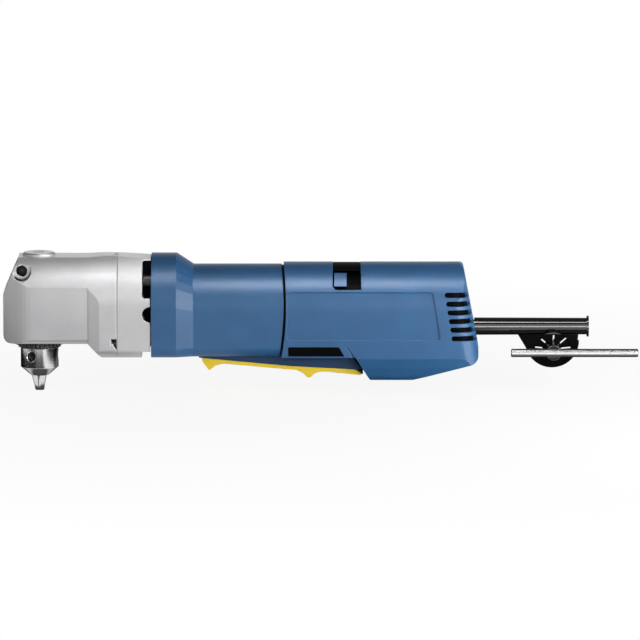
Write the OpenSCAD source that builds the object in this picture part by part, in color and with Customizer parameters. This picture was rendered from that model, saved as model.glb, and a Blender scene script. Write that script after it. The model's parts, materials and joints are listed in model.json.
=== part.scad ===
// Right angle drill with a keyed chuck, mains motor, squeeze lever and key holder.
// Millimetres. X = 0, Y = 0 is the chuck's axis, Z = 0 is the motor's axis.
// The chuck points down (-Z) and the cord sleeve points back (+X).

/* [Gear head] */
// Width of the gear head
head_w = 65; // [62:0.5:68]
// Distance from the chuck axis to the flat front of the nose
nose_len = 26.3; // [26:0.1:29]
// Radius of the nose's two upright corners
head_corner_r = 21; // [16:0.5:23]
// Height of the head's flat top above the motor axis
head_top = 37.5; // [37:0.5:40]
// Depth of the head's underside below the motor axis
head_drop = 24.5; // [24:0.5:26]
// Distance from the chuck axis to the seam with the bearing flange
head_len = 58; // [56:0.5:62]
// Wall of the cast head
head_wall = 3; // [2.5:0.1:4]
// Radius on the head's lower edges
head_low_r = 3.5; // [2:0.5:5]
// Radius of the round bearing cap on top
cap_r = 12; // [12:0.25:14]
// How far the bearing cap stands above the head
cap_h = 2.4; // [1.5:0.1:4]
// Tapping radius of the two side handle threads
handle_thread_r = 4.2; // [3.2:0.1:4.4]
// Usable depth of a side handle thread
handle_thread_len = 9; // [7:0.5:10]

/* [Bearing flange] */
// Width of the flange section behind the seam
flange_w = 70; // [68:0.5:71]
// Height of the centre of the head's and flange's round shoulders
shoulder_rise = 4.8; // [4:0.1:6]
// Length of the flange
flange_len = 24.7; // [24:0.1:28]
// Depth of the flange, collar and grip undersides below the motor axis
body_drop = 34.5; // [34:0.5:36]
// Length of the air outlets cut into the flange's rear rim
outlet_len = 6; // [4:0.5:8]

/* [Motor housing] */
// Radius of the collar's round top
collar_r = 36; // [35.5:0.5:38]
// Height of the centre of the collar's round top
collar_rise = 3.2; // [2:0.2:4]
// Length of the collar
collar_len = 18.5; // [16:0.5:22]
// Length of the slope between collar and grip
slope_len = 12; // [9:0.5:14]
// Radius of the grip's round top
grip_r = 31; // [30.8:0.2:33]
// Length of the grip, to the seam's upper end
grip_len = 64; // [60:0.5:70]
// Wall of the motor housing
grip_wall = 3; // [2.4:0.1:3]
// How far the housing's rear edge bulges into the seam
seam_bulge = 3; // [1:0.25:4]
// Width of the open seam between housing and rear shells
seam_gap = 1.8; // [1:0.1:2.5]

/* [Rear shells] */
// Radius of the shells' round top
shell_r = 32.5; // [32:0.25:34]
// Wall of the rear shells
shell_wall = 2.6; // [2:0.1:3]
// Distance from the chuck axis to the rearmost point
rear_x = 324.4; // [320:0.5:335]
// Depth of the belly under the motor axis
belly_drop = 52.2; // [50:0.5:56]
// Depth of the sunk panel on each side
panel_depth = 0.9; // [0.3:0.1:1]
// Height of one air slot
slot_h = 3.8; // [2.5:0.1:4]
// Distance from one air slot to the next
slot_pitch = 6.4; // [6:0.1:7]
// Number of air slots on each side
slot_count = 6; // [4:1:6]

/* [Lever] */
// Width of the squeeze lever
lever_w = 44; // [38:0.5:45]
// Clearance around the lever in its slot
lever_gap = 1; // [0.6:0.1:1.5]
// Wall of the lever
lever_wall = 2.4; // [2:0.1:3]
// Radius of the lever's pivot pin
lever_pin_r = 1.5; // [1.2:0.1:1.8]
// Angle through which the lever is squeezed, in degrees
lever_swing = 3; // [2:0.25:3]

/* [Gears] */
// Module of the motor stage
spur_module = 0.6; // [0.6:0.01:0.61]
// Teeth on the motor pinion
motor_teeth = 7;
// Teeth on the intermediate gear
spur_teeth = 47;
// Module of the bevel stage, at its outer end
bevel_module = 1.15; // [1.1:0.01:1.15]
// Teeth on the bevel pinion
bevel_teeth = 8;
// Teeth on the crown gear
crown_teeth = 36;
// Tooth play of both stages, along the pitch circle
tooth_play = 0.14; // [0.1:0.01:0.2]

/* [Spindle and chuck] */
// Radius of the spindle in its lower bearing
spindle_r = 6; // [5.5:0.1:6.5]
// Radius of the spindle's chuck thread
thread_r = 4.76; // [4.5:0.01:5]
// Radius of the chuck body
chuck_r = 14; // [13.8:0.1:14.5]
// Depth of the chuck's nose below the motor axis
chuck_drop = 51.7; // [50:0.1:54]
// Depth of the closed jaw tips below the motor axis
jaw_drop = 63; // [62:0.25:64]
// Radius of a jaw
jaw_r = 3; // [2.8:0.1:3]
// Lean of the jaws from the chuck axis, in degrees
jaw_lean = 14; // [13.5:0.1:14]
// Radius of the tool hole between the closed jaws
bite_r = 0.5; // [0.3:0.1:0.8]
// Radius of the toothed ring
ring_r = 18.5; // [18:0.1:19]
// Teeth on the chuck ring
ring_teeth = 33; // [30:3:36]
// Radius of a key hole in the chuck body
key_hole_r = 3.4; // [3.1:0.1:3.6]

/* [Motor] */
// Bore of the field core
field_bore_r = 16.4; // [16.2:0.1:17]
// Air gap between armature and field
air_gap = 0.6; // [0.4:0.1:0.8]
// Length of the lamination stacks
stack_len = 42; // [38:1:44]
// Radius of the armature shaft
shaft_r = 4; // [3.9:0.05:4.1]
// Radius of the commutator
commutator_r = 11; // [10:0.25:12]
// Radius of the cooling fan
fan_r = 28.5; // [27:0.5:29]
// Blades of the cooling fan
fan_blades = 11; // [9:1:13]

/* [Cord sleeve and key] */
// Outer radius of the cord sleeve
sleeve_r = 6.5; // [6:0.1:7]
// Radius of the bore for the cord
cord_r = 4; // [3.5:0.1:4.5]
// Length of the sleeve outside the shells
sleeve_len = 82; // [70:1:95]
// Thickness of the key holder web under the sleeve
web_t = 4; // [3:0.25:5]
// Radius of the tommy bar
bar_r = 3.1; // [2.8:0.1:3.3]
// Length of the tommy bar
bar_len = 93.8; // [85:0.5:100]
// Radius of the key's hub
hub_r = 5.5; // [5:0.1:6]

/* [Fits] */
// Running clearance between a shaft and its bearing, on the radius
run_gap = 0.05; // [0.03:0.01:0.08]
// Seating gap between fixed parts
seat_gap = 0.2; // [0.1:0.05:0.3]

/* [Hidden] */
$fn = 48;
eps = 0.01;
big = 400;

flange_x = head_len;
collar_x = flange_x + flange_len + 0.6;
slope_x = collar_x + collar_len;
grip_x = slope_x + slope_len;
seam_x = grip_x + grip_len;

flare_start_x = head_len - 21;
flare_end_x = head_len - 10.5;
nose_low_r = 5;
bevel_z = spur_module * (motor_teeth + spur_teeth) / 2;
crown_pitch_r = bevel_module * crown_teeth / 2;
pinion_pitch_r = bevel_module * bevel_teeth / 2;
crown_lean = atan(crown_teeth / bevel_teeth);
cone_len = norm([crown_pitch_r, pinion_pitch_r]);
face_w = 6.6;
pinion_shift = 0.4;
spur_shift = 0.35;

recess_z = -head_drop + 15.9;
low_bearing_h = 8;
retainer_t = 1;
low_bearing_z = recess_z + retainer_t;
crown_hub_z = low_bearing_z + low_bearing_h + 0.6;
top_bearing_h = 7;
top_bearing_z = head_top - 5.5 - top_bearing_h - 0.4;
top_bearing_r = 11;
low_bearing_r = 14;
spindle_top_r = 4;
recess_r = ring_r + 0.8;
handle_x = -12;
handle_z = 28.6;
handle_face_y = 21.5;

chuck_back_z = recess_z - 0.7;
nut_low_z = chuck_back_z - 21;
nut_high_z = nut_low_z + 4.8;
nut_play = 0.3;
upper_body_r = chuck_r - 0.8;
thread_len = 14;
jaw_back_z = nut_high_z - 1;
jaw_root_r = 0.2;
jaw_len = (jaw_drop + jaw_back_z) / cos(jaw_lean);
jaw_azimuths = [195, 315, 75];
key_hole_azimuths = [245, 5, 125];
key_hole_z = nut_low_z - 6.4;

motor_bearing_r = 11;
motor_bearing_h = 7;
motor_bearing_x = flange_x + 12;
fan_x = collar_x + 1.5;
stack_x = collar_x + 21;
rear_bearing_x = seam_x - 9;
commutator_x = stack_x + stack_len + 7.5;
commutator_len = 12;
brush_w = 6;
brush_h = 9;
field_r = grip_r - grip_wall - seat_gap;

lever_pin_x = grip_x + 7.2;
lever_pin_z = -body_drop + 4.5;
lever_end_x = 239.4;
slot_end_x = 244;
slot_start_x = lever_pin_x - 4.5;

sleeve_z = -15.5;
sleeve_end_x = rear_x + sleeve_len;
key_x = 380.1;
key_z = -32.6;
bar_y = -20;
bar_left_x = 348.5;
shank_r = 4;

window_x0 = 217;
window_x1 = 238;
window_low_z = shell_r * 0.474;
guide_r = shell_r - shell_wall - 1.6;
slider_w = 9.2;
slider_x = window_x0 + 1;
slider_travel = 9.4;

// Solids of revolution and prisms along the three axes

module xcyl(x0, x1, r, y = 0, z = 0) {
  translate([x0, y, z]) rotate([0, 90, 0]) cylinder(r = r, h = x1 - x0);
}

module ycyl(y0, y1, r, x = 0, z = 0) {
  translate([x, y1, z]) rotate([90, 0, 0]) cylinder(r = r, h = y1 - y0);
}

module zcyl(z0, z1, r, x = 0, y = 0) {
  translate([x, y, z0]) cylinder(r = r, h = z1 - z0);
}

module xring(x0, x1, r, bore, y = 0, z = 0) {
  difference() {
    xcyl(x0, x1, r, y, z);
    xcyl(x0 - 1, x1 + 1, bore, y, z);
  }
}

module zring(z0, z1, r, bore) {
  difference() {
    zcyl(z0, z1, r);
    zcyl(z0 - 1, z1 + 1, bore);
  }
}

// A shaft along X from its steps, each the place where a new radius starts
module turned_x(steps, z = 0) {
  last = len(steps) - 1;
  translate([0, 0, z]) rotate([0, 90, 0]) rotate_extrude()
    polygon(concat([[0, steps[0][0]]],
      [for (i = [0:last - 1], k = [0, 1]) [steps[i][1], steps[i + k][0]]],
      [[0, steps[last][0]]]));
}

// A flat shape drawn in Y and Z, drawn out along X
module xprism(x0, x1) {
  translate([x0, 0, 0]) rotate([90, 0, 90]) linear_extrude(height = x1 - x0) children();
}

// A flat shape drawn in X and Z, drawn out along Y
module yprism(y0, y1) {
  translate([0, y1, 0]) rotate([90, 0, 0]) linear_extrude(height = y1 - y0) children();
}

// A flat shape drawn in X and Y, drawn out along Z
module zprism(z0, z1) {
  translate([0, 0, z0]) linear_extrude(height = z1 - z0) children();
}

module box(x0, x1, y0, y1, z0, z1) {
  translate([x0, y0, z0]) cube([x1 - x0, y1 - y0, z1 - z0]);
}

module both_sides() {
  children();
  mirror([0, 1, 0]) children();
}

// Rounds the outer corners of a flat shape
module round_corners(r) {
  offset(r = r, $fn = 40) offset(delta = -r) children();
}

// Sections across X

// Round top of radius r about height c, straight sides and a flat underside
module arch_section(r, c, low, low_r) {
  translate([0, c]) circle(r = r);
  translate([-r, low + low_r]) square([2 * r, c - low - low_r]);
  translate([-r + low_r, low]) square([2 * (r - low_r), c - low]);
  for (s = [-1, 1]) translate([s * (r - low_r), low + low_r]) circle(r = low_r);
}

// Gear teeth

function involute_deg(a) = tan(a) * 180 / PI - a;

// Half the angle of a tooth at radius r, from its half angle at the pitch circle
function tooth_half(r, base_r, pitch_half) =
  pitch_half + involute_deg(20) - involute_deg(acos(min(1, base_r / r)));

// Outline of a spur gear with involute flanks, with one tooth on the first axis
function gear_outline(n, m, shift, play, tip = 1, steps = 3) =
  let (
    pitch_r = m * n / 2,
    base_r = pitch_r * cos(20),
    tip_r = pitch_r + m * (tip + shift),
    root_r = pitch_r - m * (1.25 - shift),
    pitch_half = (90 + 2 * shift * tan(20) * 180 / PI) / n - play / 2 / pitch_r * 90 / PI,
    low_r = max(base_r, root_r),
    radii = concat([root_r], [for (k = [0:steps]) low_r + (tip_r - low_r) * k / steps])
  )
  [for (i = [0:n - 1], side = [-1, 1], k = [0:steps + 1])
    let (
      r = radii[side < 0 ? k : steps + 1 - k],
      a = i * 360 / n + side * tooth_half(max(r, low_r), base_r, pitch_half)
    )
    r * [cos(a), sin(a)]];

// One straight tooth of the crown gear, tapering to the point where both axes cross
module crown_tooth() {
  m = bevel_module;
  half = m * (PI / 4 - pinion_shift * tan(20)) - tooth_play / 4;
  tip = (1 - pinion_shift) * m;
  root = -(1.25 + pinion_shift) * m - 0.4;
  near = (cone_len - face_w) / cone_len;
  along = [sin(crown_lean), 0, -cos(crown_lean)];
  out = [cos(crown_lean), 0, sin(crown_lean)];
  corners = [for (k = [near, 1], p = [[-1, root], [1, root], [1, tip], [-1, tip]])
    k * (cone_len * along + p[1] * out + p[0] * (half - p[1] * tan(20)) * [0, 1, 0])];
  translate([0, 0, bevel_z])
    polyhedron(corners, [[0, 1, 2, 3], [7, 6, 5, 4], [0, 4, 5, 1],
      [1, 5, 6, 2], [2, 6, 7, 3], [3, 7, 4, 0]]);
}

// Gear head

module head_section(inset) {
  intersection() {
    arch_section(flange_w / 2 - inset, shoulder_rise, -big / 2, 1);
    round_corners(max(head_low_r - inset, 0.5))
      translate([-head_w / 2 + inset, -head_drop + inset]) square([head_w - 2 * inset, big / 2]);
  }
}

module flange_section(inset) {
  intersection() {
    arch_section(flange_w / 2 - inset, shoulder_rise, -body_drop + inset, 6 - inset / 2);
    translate([-big / 2, -big / 2]) square([big, big / 2 + head_top + 0.9 - inset]);
  }
}

// Seen from above: two upright round corners, and flanks that widen to the flange
module head_plan(inset) {
  offset(delta = -inset) {
    round_corners(head_corner_r) translate([-nose_len, -head_w / 2]) square([big, head_w]);
    polygon([[flare_start_x - 3, -head_w / 2], [flare_end_x, -flange_w / 2 - 0.5],
      [big, -flange_w / 2 - 0.5], [big, flange_w / 2 + 0.5], [flare_end_x, flange_w / 2 + 0.5],
      [flare_start_x - 3, head_w / 2]]);
  }
}

// Seen from the side: slanting nose, flat top and the slope down to the flange
module head_side(inset) {
  offset(delta = -inset) difference() {
    union() {
      round_corners(nose_low_r) translate([-nose_len, -head_drop]) square([big, big]);
      polygon([[flare_start_x, 0], [flare_start_x, -head_drop], [flare_end_x - 1.6, -body_drop + 1],
        [flare_end_x, -body_drop], [big, -body_drop], [big, 0]]);
    }
    polygon([[-15, big], [-15, head_top - 0.9], [-25.4, 12.9], [-nose_len, 9.5], [-big, 9.5],
      [-big, big]]);
    polygon([[-big, head_top], [flare_start_x, head_top], [flare_end_x, head_top + 0.9],
      [2 * big, head_top + 0.9], [2 * big, 2 * big], [-big, 2 * big]]);
  }
}

module head_form(inset, rear) {
  intersection() {
    union() {
      xprism(-big, flare_start_x) head_section(inset);
      xprism(flare_start_x, rear) flange_section(inset);
    }
    zprism(-big / 2, big / 2) head_plan(inset);
    yprism(-big / 2, big / 2) head_side(inset);
  }
}

// Places of the screws that hold the head on the flange, and the flange on the motor housing
head_screw_spots = [[-23, -19], [23, -19], [-25, 22], [25, 22]];
low_screw_spots = [[-31, -24], [31, -24]];
top_screw_z = 34.1;
notch_len = 4.4;

// Room for the heads of the flange screws, open to the outside
module screw_notches() {
  for (p = low_screw_spots) xcyl(head_len - notch_len, head_len + 1, 4, p[0], p[1]);
  both_sides() yprism(31, 60)
    polygon([[head_len - notch_len + 0.1, -20.3], [head_len + 1, -20.3], [head_len + 1, -27.8],
      [head_len - 0.8, -27.4], [head_len - 3.6, -22.8]]);
  box(head_len - notch_len + 0.9, head_len + 1, -5, 5, top_screw_z - 3.1, 60);
}

module gear_head() {
  color("silver") difference() {
    head_form(0, head_len);
    difference() {
      head_form(head_wall, head_len + 1);
      // floor around the lower bearing and wall around the chuck recess
      box(-big, low_bearing_r + 9, -big / 2, big / 2, -big, low_bearing_z + low_bearing_h - 0.6);
      // post for the upper bearing
      zcyl(top_bearing_z - 0.4, head_top, top_bearing_r + 2.6);
      // bosses behind the side handle threads
      both_sides() ycyl(-big, -handle_face_y + handle_thread_len + 1.5, handle_thread_r + 2.2,
        handle_x, handle_z);
      // web that carries the pinion's front bearing
      box(22.8, 29.2, -big / 2, big / 2, -big, big);
      // corner bosses for the screws
      for (p = head_screw_spots) xcyl(flare_end_x - 2, head_len + 2, 10, p[0], p[1]);
      for (p = low_screw_spots) xcyl(head_len - notch_len - 3, head_len + 2, 6.5, p[0], p[1]);
      box(head_len - notch_len - 3, head_len + 2, -7, 7, bevel_z, 60);
    }
    zcyl(-head_drop - 1, recess_z, recess_r);
    zcyl(recess_z - 1, low_bearing_z + low_bearing_h + 4, low_bearing_r + run_gap);
    zcyl(top_bearing_z - 1, head_top - 5, top_bearing_r + run_gap);
    zcyl(head_top - 5.5, head_top + 10, cap_r - 1.5 + run_gap);
    // room for the gears
    xcyl(gear_x0 - 2, head_len + 2, 15.2, 0, bevel_z);
    zcyl(crown_hub_z - 0.6, bevel_z - 3, crown_pitch_r + 2.6);
    xcyl(22, 30, 10 + run_gap, 0, bevel_z);
    both_sides() {
      ycyl(-head_w, -handle_face_y, 6.8, handle_x, handle_z);
      ycyl(-head_w, -handle_face_y + handle_thread_len, handle_thread_r, handle_x, handle_z);
    }
    for (p = head_screw_spots) xcyl(flare_end_x, head_len + 3, 2.5 + run_gap, p[0], p[1]);
    screw_notches();
  }
}

module bearing_cap() {
  color("silver") rotate_extrude()
    polygon([[0, head_top - 4.9], [cap_r - 1.5, head_top - 4.9], [cap_r - 1.5, head_top + 0.05],
      [cap_r, head_top + 0.05], [cap_r, head_top + cap_h - 1], [cap_r - 1, head_top + cap_h],
      [4, head_top + cap_h], [3.4, head_top + cap_h - 0.5], [0, head_top + cap_h - 0.5]]);
}

// Spindle and its gearing

module spindle() {
  color("lightgray") rotate_extrude()
    polygon([[0, chuck_back_z - thread_len], [thread_r - 0.8, chuck_back_z - thread_len],
      [thread_r, chuck_back_z - thread_len + 1], [thread_r, chuck_back_z],
      [7.5, chuck_back_z], [7.5, recess_z + retainer_t - 0.1], [spindle_r, recess_z + retainer_t - 0.1],
      [spindle_r, bevel_z + 6.5], [spindle_top_r, bevel_z + 6.5],
      [spindle_top_r, top_bearing_z + top_bearing_h - 0.6],
      [spindle_top_r - 0.6, top_bearing_z + top_bearing_h], [0, top_bearing_z + top_bearing_h]]);
}

// Ball bearing drawn as two rings joined by their balls and shields
module bearing_profile(bore, outer, h) {
  polygon([[bore, 0.3], [bore + 0.3, 0], [bore + (outer - bore) * 0.3, 0],
    [bore + (outer - bore) * 0.3, 0.5], [outer - (outer - bore) * 0.25, 0.5],
    [outer - (outer - bore) * 0.25, 0], [outer - 0.4, 0], [outer, 0.4],
    [outer, h - 0.4], [outer - 0.4, h], [outer - (outer - bore) * 0.25, h],
    [outer - (outer - bore) * 0.25, h - 0.5], [bore + (outer - bore) * 0.3, h - 0.5],
    [bore + (outer - bore) * 0.3, h], [bore + 0.3, h], [bore, h - 0.3]]);
}

module zbearing(z, bore, outer, h) {
  color("gainsboro") translate([0, 0, z]) rotate_extrude() bearing_profile(bore, outer, h);
}

module xbearing(x, z, bore, outer, h) {
  color("gainsboro") translate([x, 0, z]) rotate([0, 90, 0])
    rotate_extrude() bearing_profile(bore, outer, h);
}

module spindle_lower_bearing() {
  zbearing(low_bearing_z, spindle_r + run_gap, low_bearing_r, low_bearing_h);
}

module spindle_upper_bearing() {
  zbearing(top_bearing_z, spindle_top_r + run_gap, top_bearing_r, top_bearing_h);
}

module bearing_retainer() {
  color("dimgray") difference() {
    zring(recess_z, recess_z + retainer_t - 0.1, low_bearing_r, 8.2);
    for (s = [-1, 1]) zcyl(recess_z - 1, recess_z + 2, 1.1, s * 11.2, 0);
  }
}

module crown_gear() {
  root_lean = atan((1.25 + pinion_shift) * bevel_module / cone_len);
  outer = (cone_len + 0.6) * sin(crown_lean);
  inner = (cone_len - face_w - 0.4) * sin(crown_lean);
  drop = 1 / tan(crown_lean - root_lean);
  color("darkgray") {
    difference() {
      union() {
        rotate_extrude()
          polygon([[spindle_r, crown_hub_z], [11, crown_hub_z], [12, crown_hub_z + 2],
            [outer - 1, bevel_z - outer * drop - 3], [outer, bevel_z - outer * drop - 2],
            [outer, bevel_z - outer * drop], [inner, bevel_z - inner * drop],
            [inner - 1.5, bevel_z - inner * drop - 1], [spindle_r, bevel_z - inner * drop - 1]]);
        for (i = [0:crown_teeth - 1]) rotate([0, 0, i * 360 / crown_teeth]) crown_tooth();
      }
      zcyl(crown_hub_z - 5, bevel_z + 5, spindle_r + eps);
    }
  }
}

intermediate_x1 = flange_x + 11;
front_bearing_x = 23;

module intermediate_shaft() {
  near = (cone_len - face_w) / cone_len;
  pinion_x = pinion_pitch_r / tan(90 - crown_lean);
  color("darkgray") {
    // bevel pinion, tapering to the point where both axes cross
    translate([pinion_x, 0, bevel_z]) rotate([0, -90, 0]) rotate([0, 0, 180 / bevel_teeth])
      linear_extrude(height = pinion_x * (1 - near), scale = near)
        polygon(gear_outline(bevel_teeth, bevel_module, pinion_shift, tooth_play, 0.9));
    turned_x([[pinion_x - 0.5, 3.4], [front_bearing_x - 0.2, 4], [front_bearing_x + 20, 5],
      [flange_x + 4, 3], [intermediate_x1, 0]], bevel_z);
  }
}

gear_x0 = flange_x - 8;
gear_w = 6.5;

module intermediate_gear() {
  color("darkgray") translate([gear_x0, 0, bevel_z]) rotate([90, 0, 90]) difference() {
    linear_extrude(height = gear_w) rotate([0, 0, -90 + 180 / spur_teeth])
      polygon(gear_outline(spur_teeth, spur_module, -spur_shift, tooth_play, 1, 2));
    translate([0, 0, -1]) cylinder(r = 5 + eps, h = gear_w + 2);
    for (a = [0:60:300]) rotate([0, 0, a]) translate([9, 0, -1]) cylinder(r = 2, h = gear_w + 2);
    translate([0, 0, gear_w - 1]) difference() {
      cylinder(r = 11.8, h = 2);
      cylinder(r = 6.6, h = 2);
    }
  }
}

module intermediate_front_bearing() {
  xbearing(front_bearing_x, bevel_z, 4 + run_gap, 10, 6);
}

module intermediate_rear_bearing() {
  xbearing(flange_x + 4.6, bevel_z, 3 + run_gap, 8, 5);
}

// Bearing flange between gear head and motor

module flange_form(inset) {
  intersection() {
    xprism(flange_x, flange_x + flange_len) flange_section(inset);
    yprism(-big / 2, big / 2)
      polygon([[flange_x, head_top + 0.9 - inset], [flange_x + flange_len, head_top - 1.3 - inset],
        [flange_x + flange_len, -body_drop + 5], [flange_x + flange_len - 5.4, -body_drop + 5],
        [flange_x + flange_len - 6.4, -body_drop + 4], [flange_x + flange_len - 6.4, -body_drop],
        [flange_x, -body_drop]]);
  }
}

module outlet_shape() {
  x = flange_x + flange_len - outlet_len;
  round_corners(2) translate([x, 9.6]) square([outlet_len + 6, 26.2]);
  translate([x + 5.9, -2.2]) circle(r = 5.9);
  translate([x + 5.9, -8.1]) square([6, 11.8]);
}

// Posts round the flange screws, behind the bearing wall
module screw_posts() {
  for (p = concat(low_screw_spots, [[0, top_screw_z]]))
    xcyl(flange_x + 19, flange_x + flange_len, screw_post_r, p[0], p[1]);
}

module bearing_flange() {
  floor_x = flange_x + 20;
  color("gainsboro") difference() {
    flange_form(0);
    // fine groove at the joint with the head
    difference() {
      xprism(flange_x - 1, flange_x + 0.5) square(big, center = true);
      xprism(flange_x - 2, flange_x + 1) flange_section(0.5);
    }
    // gear space in front of the bearing wall
    intersection() {
      xprism(flange_x - 1, flange_x + 4) flange_section(4.5);
      union() {
        xcyl(flange_x - 1, flange_x + 4, 16.2, 0, bevel_z);
        xcyl(flange_x - 1, flange_x + 4, 13, 0, 0);
      }
    }
    // fan space behind it
    difference() {
      xprism(floor_x, collar_x + 1) flange_section(4.5);
      screw_posts();
    }
    xcyl(flange_x + 4.4, flange_x + 9.7, 8 + run_gap, 0, bevel_z);
    xcyl(flange_x + 3, intermediate_x1 + 0.6, 4.2, 0, bevel_z);
    xcyl(motor_bearing_x, floor_x + 1, motor_bearing_r + run_gap);
    xcyl(flange_x, floor_x, 6.5);
    difference() {
      both_sides() yprism(-big / 2, -15.6) outlet_shape();
      screw_posts();
    }
    for (p = head_screw_spots) xcyl(flange_x - 1, flange_x + 40, 2.7, p[0], p[1]);
    for (p = low_screw_spots) xcyl(flange_x - 1, flange_x + 40, 2.2, p[0], p[1]);
    xcyl(flange_x - 1, flange_x + 40, 1.6, 0, top_screw_z);
  }
}

screw_post_r = 4;

// Socket head screw of shank radius r, with its head in front of x and its tip at tip_x
module socket_screw(x, tip_x, r, p) {
  head_h = 2 * r;
  difference() {
    union() {
      xcyl(x - head_h, x, 1.75 * r, p[0], p[1]);
      xcyl(x - 0.5, tip_x, r, p[0], p[1]);
    }
    xcyl(x - head_h - 1, x - head_h / 2, 0.93 * r, p[0], p[1], $fn = 6);
  }
}

module head_screws() {
  color("dimgray") for (p = head_screw_spots) mirror([1, 0, 0])
    socket_screw(-flange_x - 20, -flare_end_x - 1, 2.5, p);
}

module flange_screws() {
  color("dimgray") for (p = low_screw_spots) socket_screw(flange_x, collar_x + 10, 2, p);
}

module top_flange_screw() {
  color("dimgray") socket_screw(flange_x, collar_x + 10, 1.5, [0, top_screw_z]);
}

// Chuck

module chuck_body() {
  nose_r = 6.6;
  cone_z = -chuck_drop + 6.3;
  color("lightgray") difference() {
    rotate_extrude()
      polygon([[thread_r + eps, chuck_back_z], [upper_body_r - 1, chuck_back_z],
        [upper_body_r, chuck_back_z - 1], [upper_body_r, nut_high_z + nut_play],
        [11.3, nut_high_z + nut_play], [11.3, nut_low_z - nut_play],
        [chuck_r - 0.5, nut_low_z - nut_play], [chuck_r, nut_low_z - nut_play - 0.5],
        [chuck_r, cone_z], [nose_r + 0.5, -chuck_drop + 0.3], [nose_r, -chuck_drop],
        [5.2, -chuck_drop], [5.2, chuck_back_z - thread_len - 1],
        [thread_r + eps, chuck_back_z - thread_len]]);
    for (a = jaw_azimuths) rotate([0, 0, a]) translate([jaw_root_r, 0, -jaw_drop])
      rotate([0, jaw_lean, 0]) translate([0, 0, -2]) cylinder(r = jaw_r + run_gap, h = 70);
    for (a = key_hole_azimuths) rotate([0, 0, a]) translate([9, 0, key_hole_z])
      rotate([0, 90, 0]) {
        cylinder(r = key_hole_r, h = 8);
        translate([0, 0, 4.2]) cylinder(r1 = key_hole_r, r2 = key_hole_r + 1.2, h = 1.2);
      }
  }
}

// Toothed sleeve around the chuck body
module chuck_ring() {
  tooth_low_z = nut_low_z + 1;
  color("dimgray") difference() {
    rotate_extrude()
      polygon([[nut_outer_r + eps, nut_low_z], [nut_outer_r + 1.2, nut_low_z],
        [ring_r - 2.8, tooth_low_z], [ring_r, tooth_low_z + 1.2], [ring_r, nut_high_z + 1.4],
        [ring_r - 0.5, nut_high_z + 2], [ring_r - 0.5, chuck_back_z - 5],
        [ring_r - 1, chuck_back_z - 4.5], [jaw_room_r, chuck_back_z - 4.5],
        [jaw_room_r, nut_high_z + 1.6], [nut_outer_r + eps, nut_high_z + 0.2]]);
    for (i = [0:ring_teeth - 1]) rotate([0, 0, i * 360 / ring_teeth])
      translate([nut_outer_r + 1.2, 0, tooth_low_z - 0.6]) rotate([0, -8, 0])
        rotate([90, 0, 90]) linear_extrude(height = 9)
          polygon([[-1.3, -1], [1.3, -1], [0.75, 3.4], [-0.75, 3.4]]);
  }
}

nut_outer_r = 14.6;
jaw_room_r = ring_r - 1.9;

// Threaded nut that drives the jaws, pressed into the sleeve
module chuck_nut() {
  function bore_at(z) = jaw_root_r + (z + jaw_drop) * tan(jaw_lean) + jaw_r / cos(jaw_lean) + 0.3;
  color("gray") rotate_extrude()
    polygon([[bore_at(nut_low_z), nut_low_z], [nut_outer_r, nut_low_z],
      [nut_outer_r, nut_high_z], [bore_at(nut_high_z), nut_high_z]]);
}

module jaw(azimuth) {
  reach = 60;
  color("lightgray") rotate([0, 0, azimuth]) difference() {
    intersection() {
      translate([jaw_root_r, 0, -jaw_drop]) rotate([0, jaw_lean, 0])
        translate([0, 0, -3]) cylinder(r = jaw_r, h = jaw_len + 3);
      translate([0.4, 0, -jaw_drop]) linear_extrude(height = 60)
        polygon([[0, 0], [reach / 2, -reach / 2 * tan(60)], [reach / 2, reach / 2 * tan(60)]]);
    }
    zcyl(-jaw_drop - 5, 0, bite_r + 0.3);
  }
}

module jaw_1() { jaw(jaw_azimuths[0]); }
module jaw_2() { jaw(jaw_azimuths[1]); }
module jaw_3() { jaw(jaw_azimuths[2]); }

// Motor housing

module collar_section(inset) {
  arch_section(collar_r - inset, collar_rise, -body_drop + inset, 7 - inset / 2);
}

module grip_section(inset) {
  arch_section(grip_r - inset, 0, -body_drop + inset, 7 - inset / 2);
}

// Side view of the housing's bulging rear edge, or of a line behind it by gap
module seam_edge(gap) {
  half = 36;
  r = (half * half + seam_bulge * seam_bulge) / 2 / seam_bulge;
  translate([seam_x + seam_bulge + gap - r, 4]) circle(r = r, $fn = 200);
}

module housing_form(inset) {
  xprism(collar_x, slope_x) collar_section(inset);
  hull() {
    xprism(slope_x - 0.5, slope_x) collar_section(inset, $fn = 32);
    xprism(grip_x, grip_x + 0.5) grip_section(inset, $fn = 32);
  }
}

// Ears inside the lever, which reach back from the floor in front of its slot
module pin_ears() {
  outer_y = lever_w / 2 - lever_wall - 0.6;
  both_sides() box(slot_start_x - 5, lever_pin_x + 4, outer_y - 3.4, outer_y,
    -body_drop + 0.7, lever_pin_z + 3);
}

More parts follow.
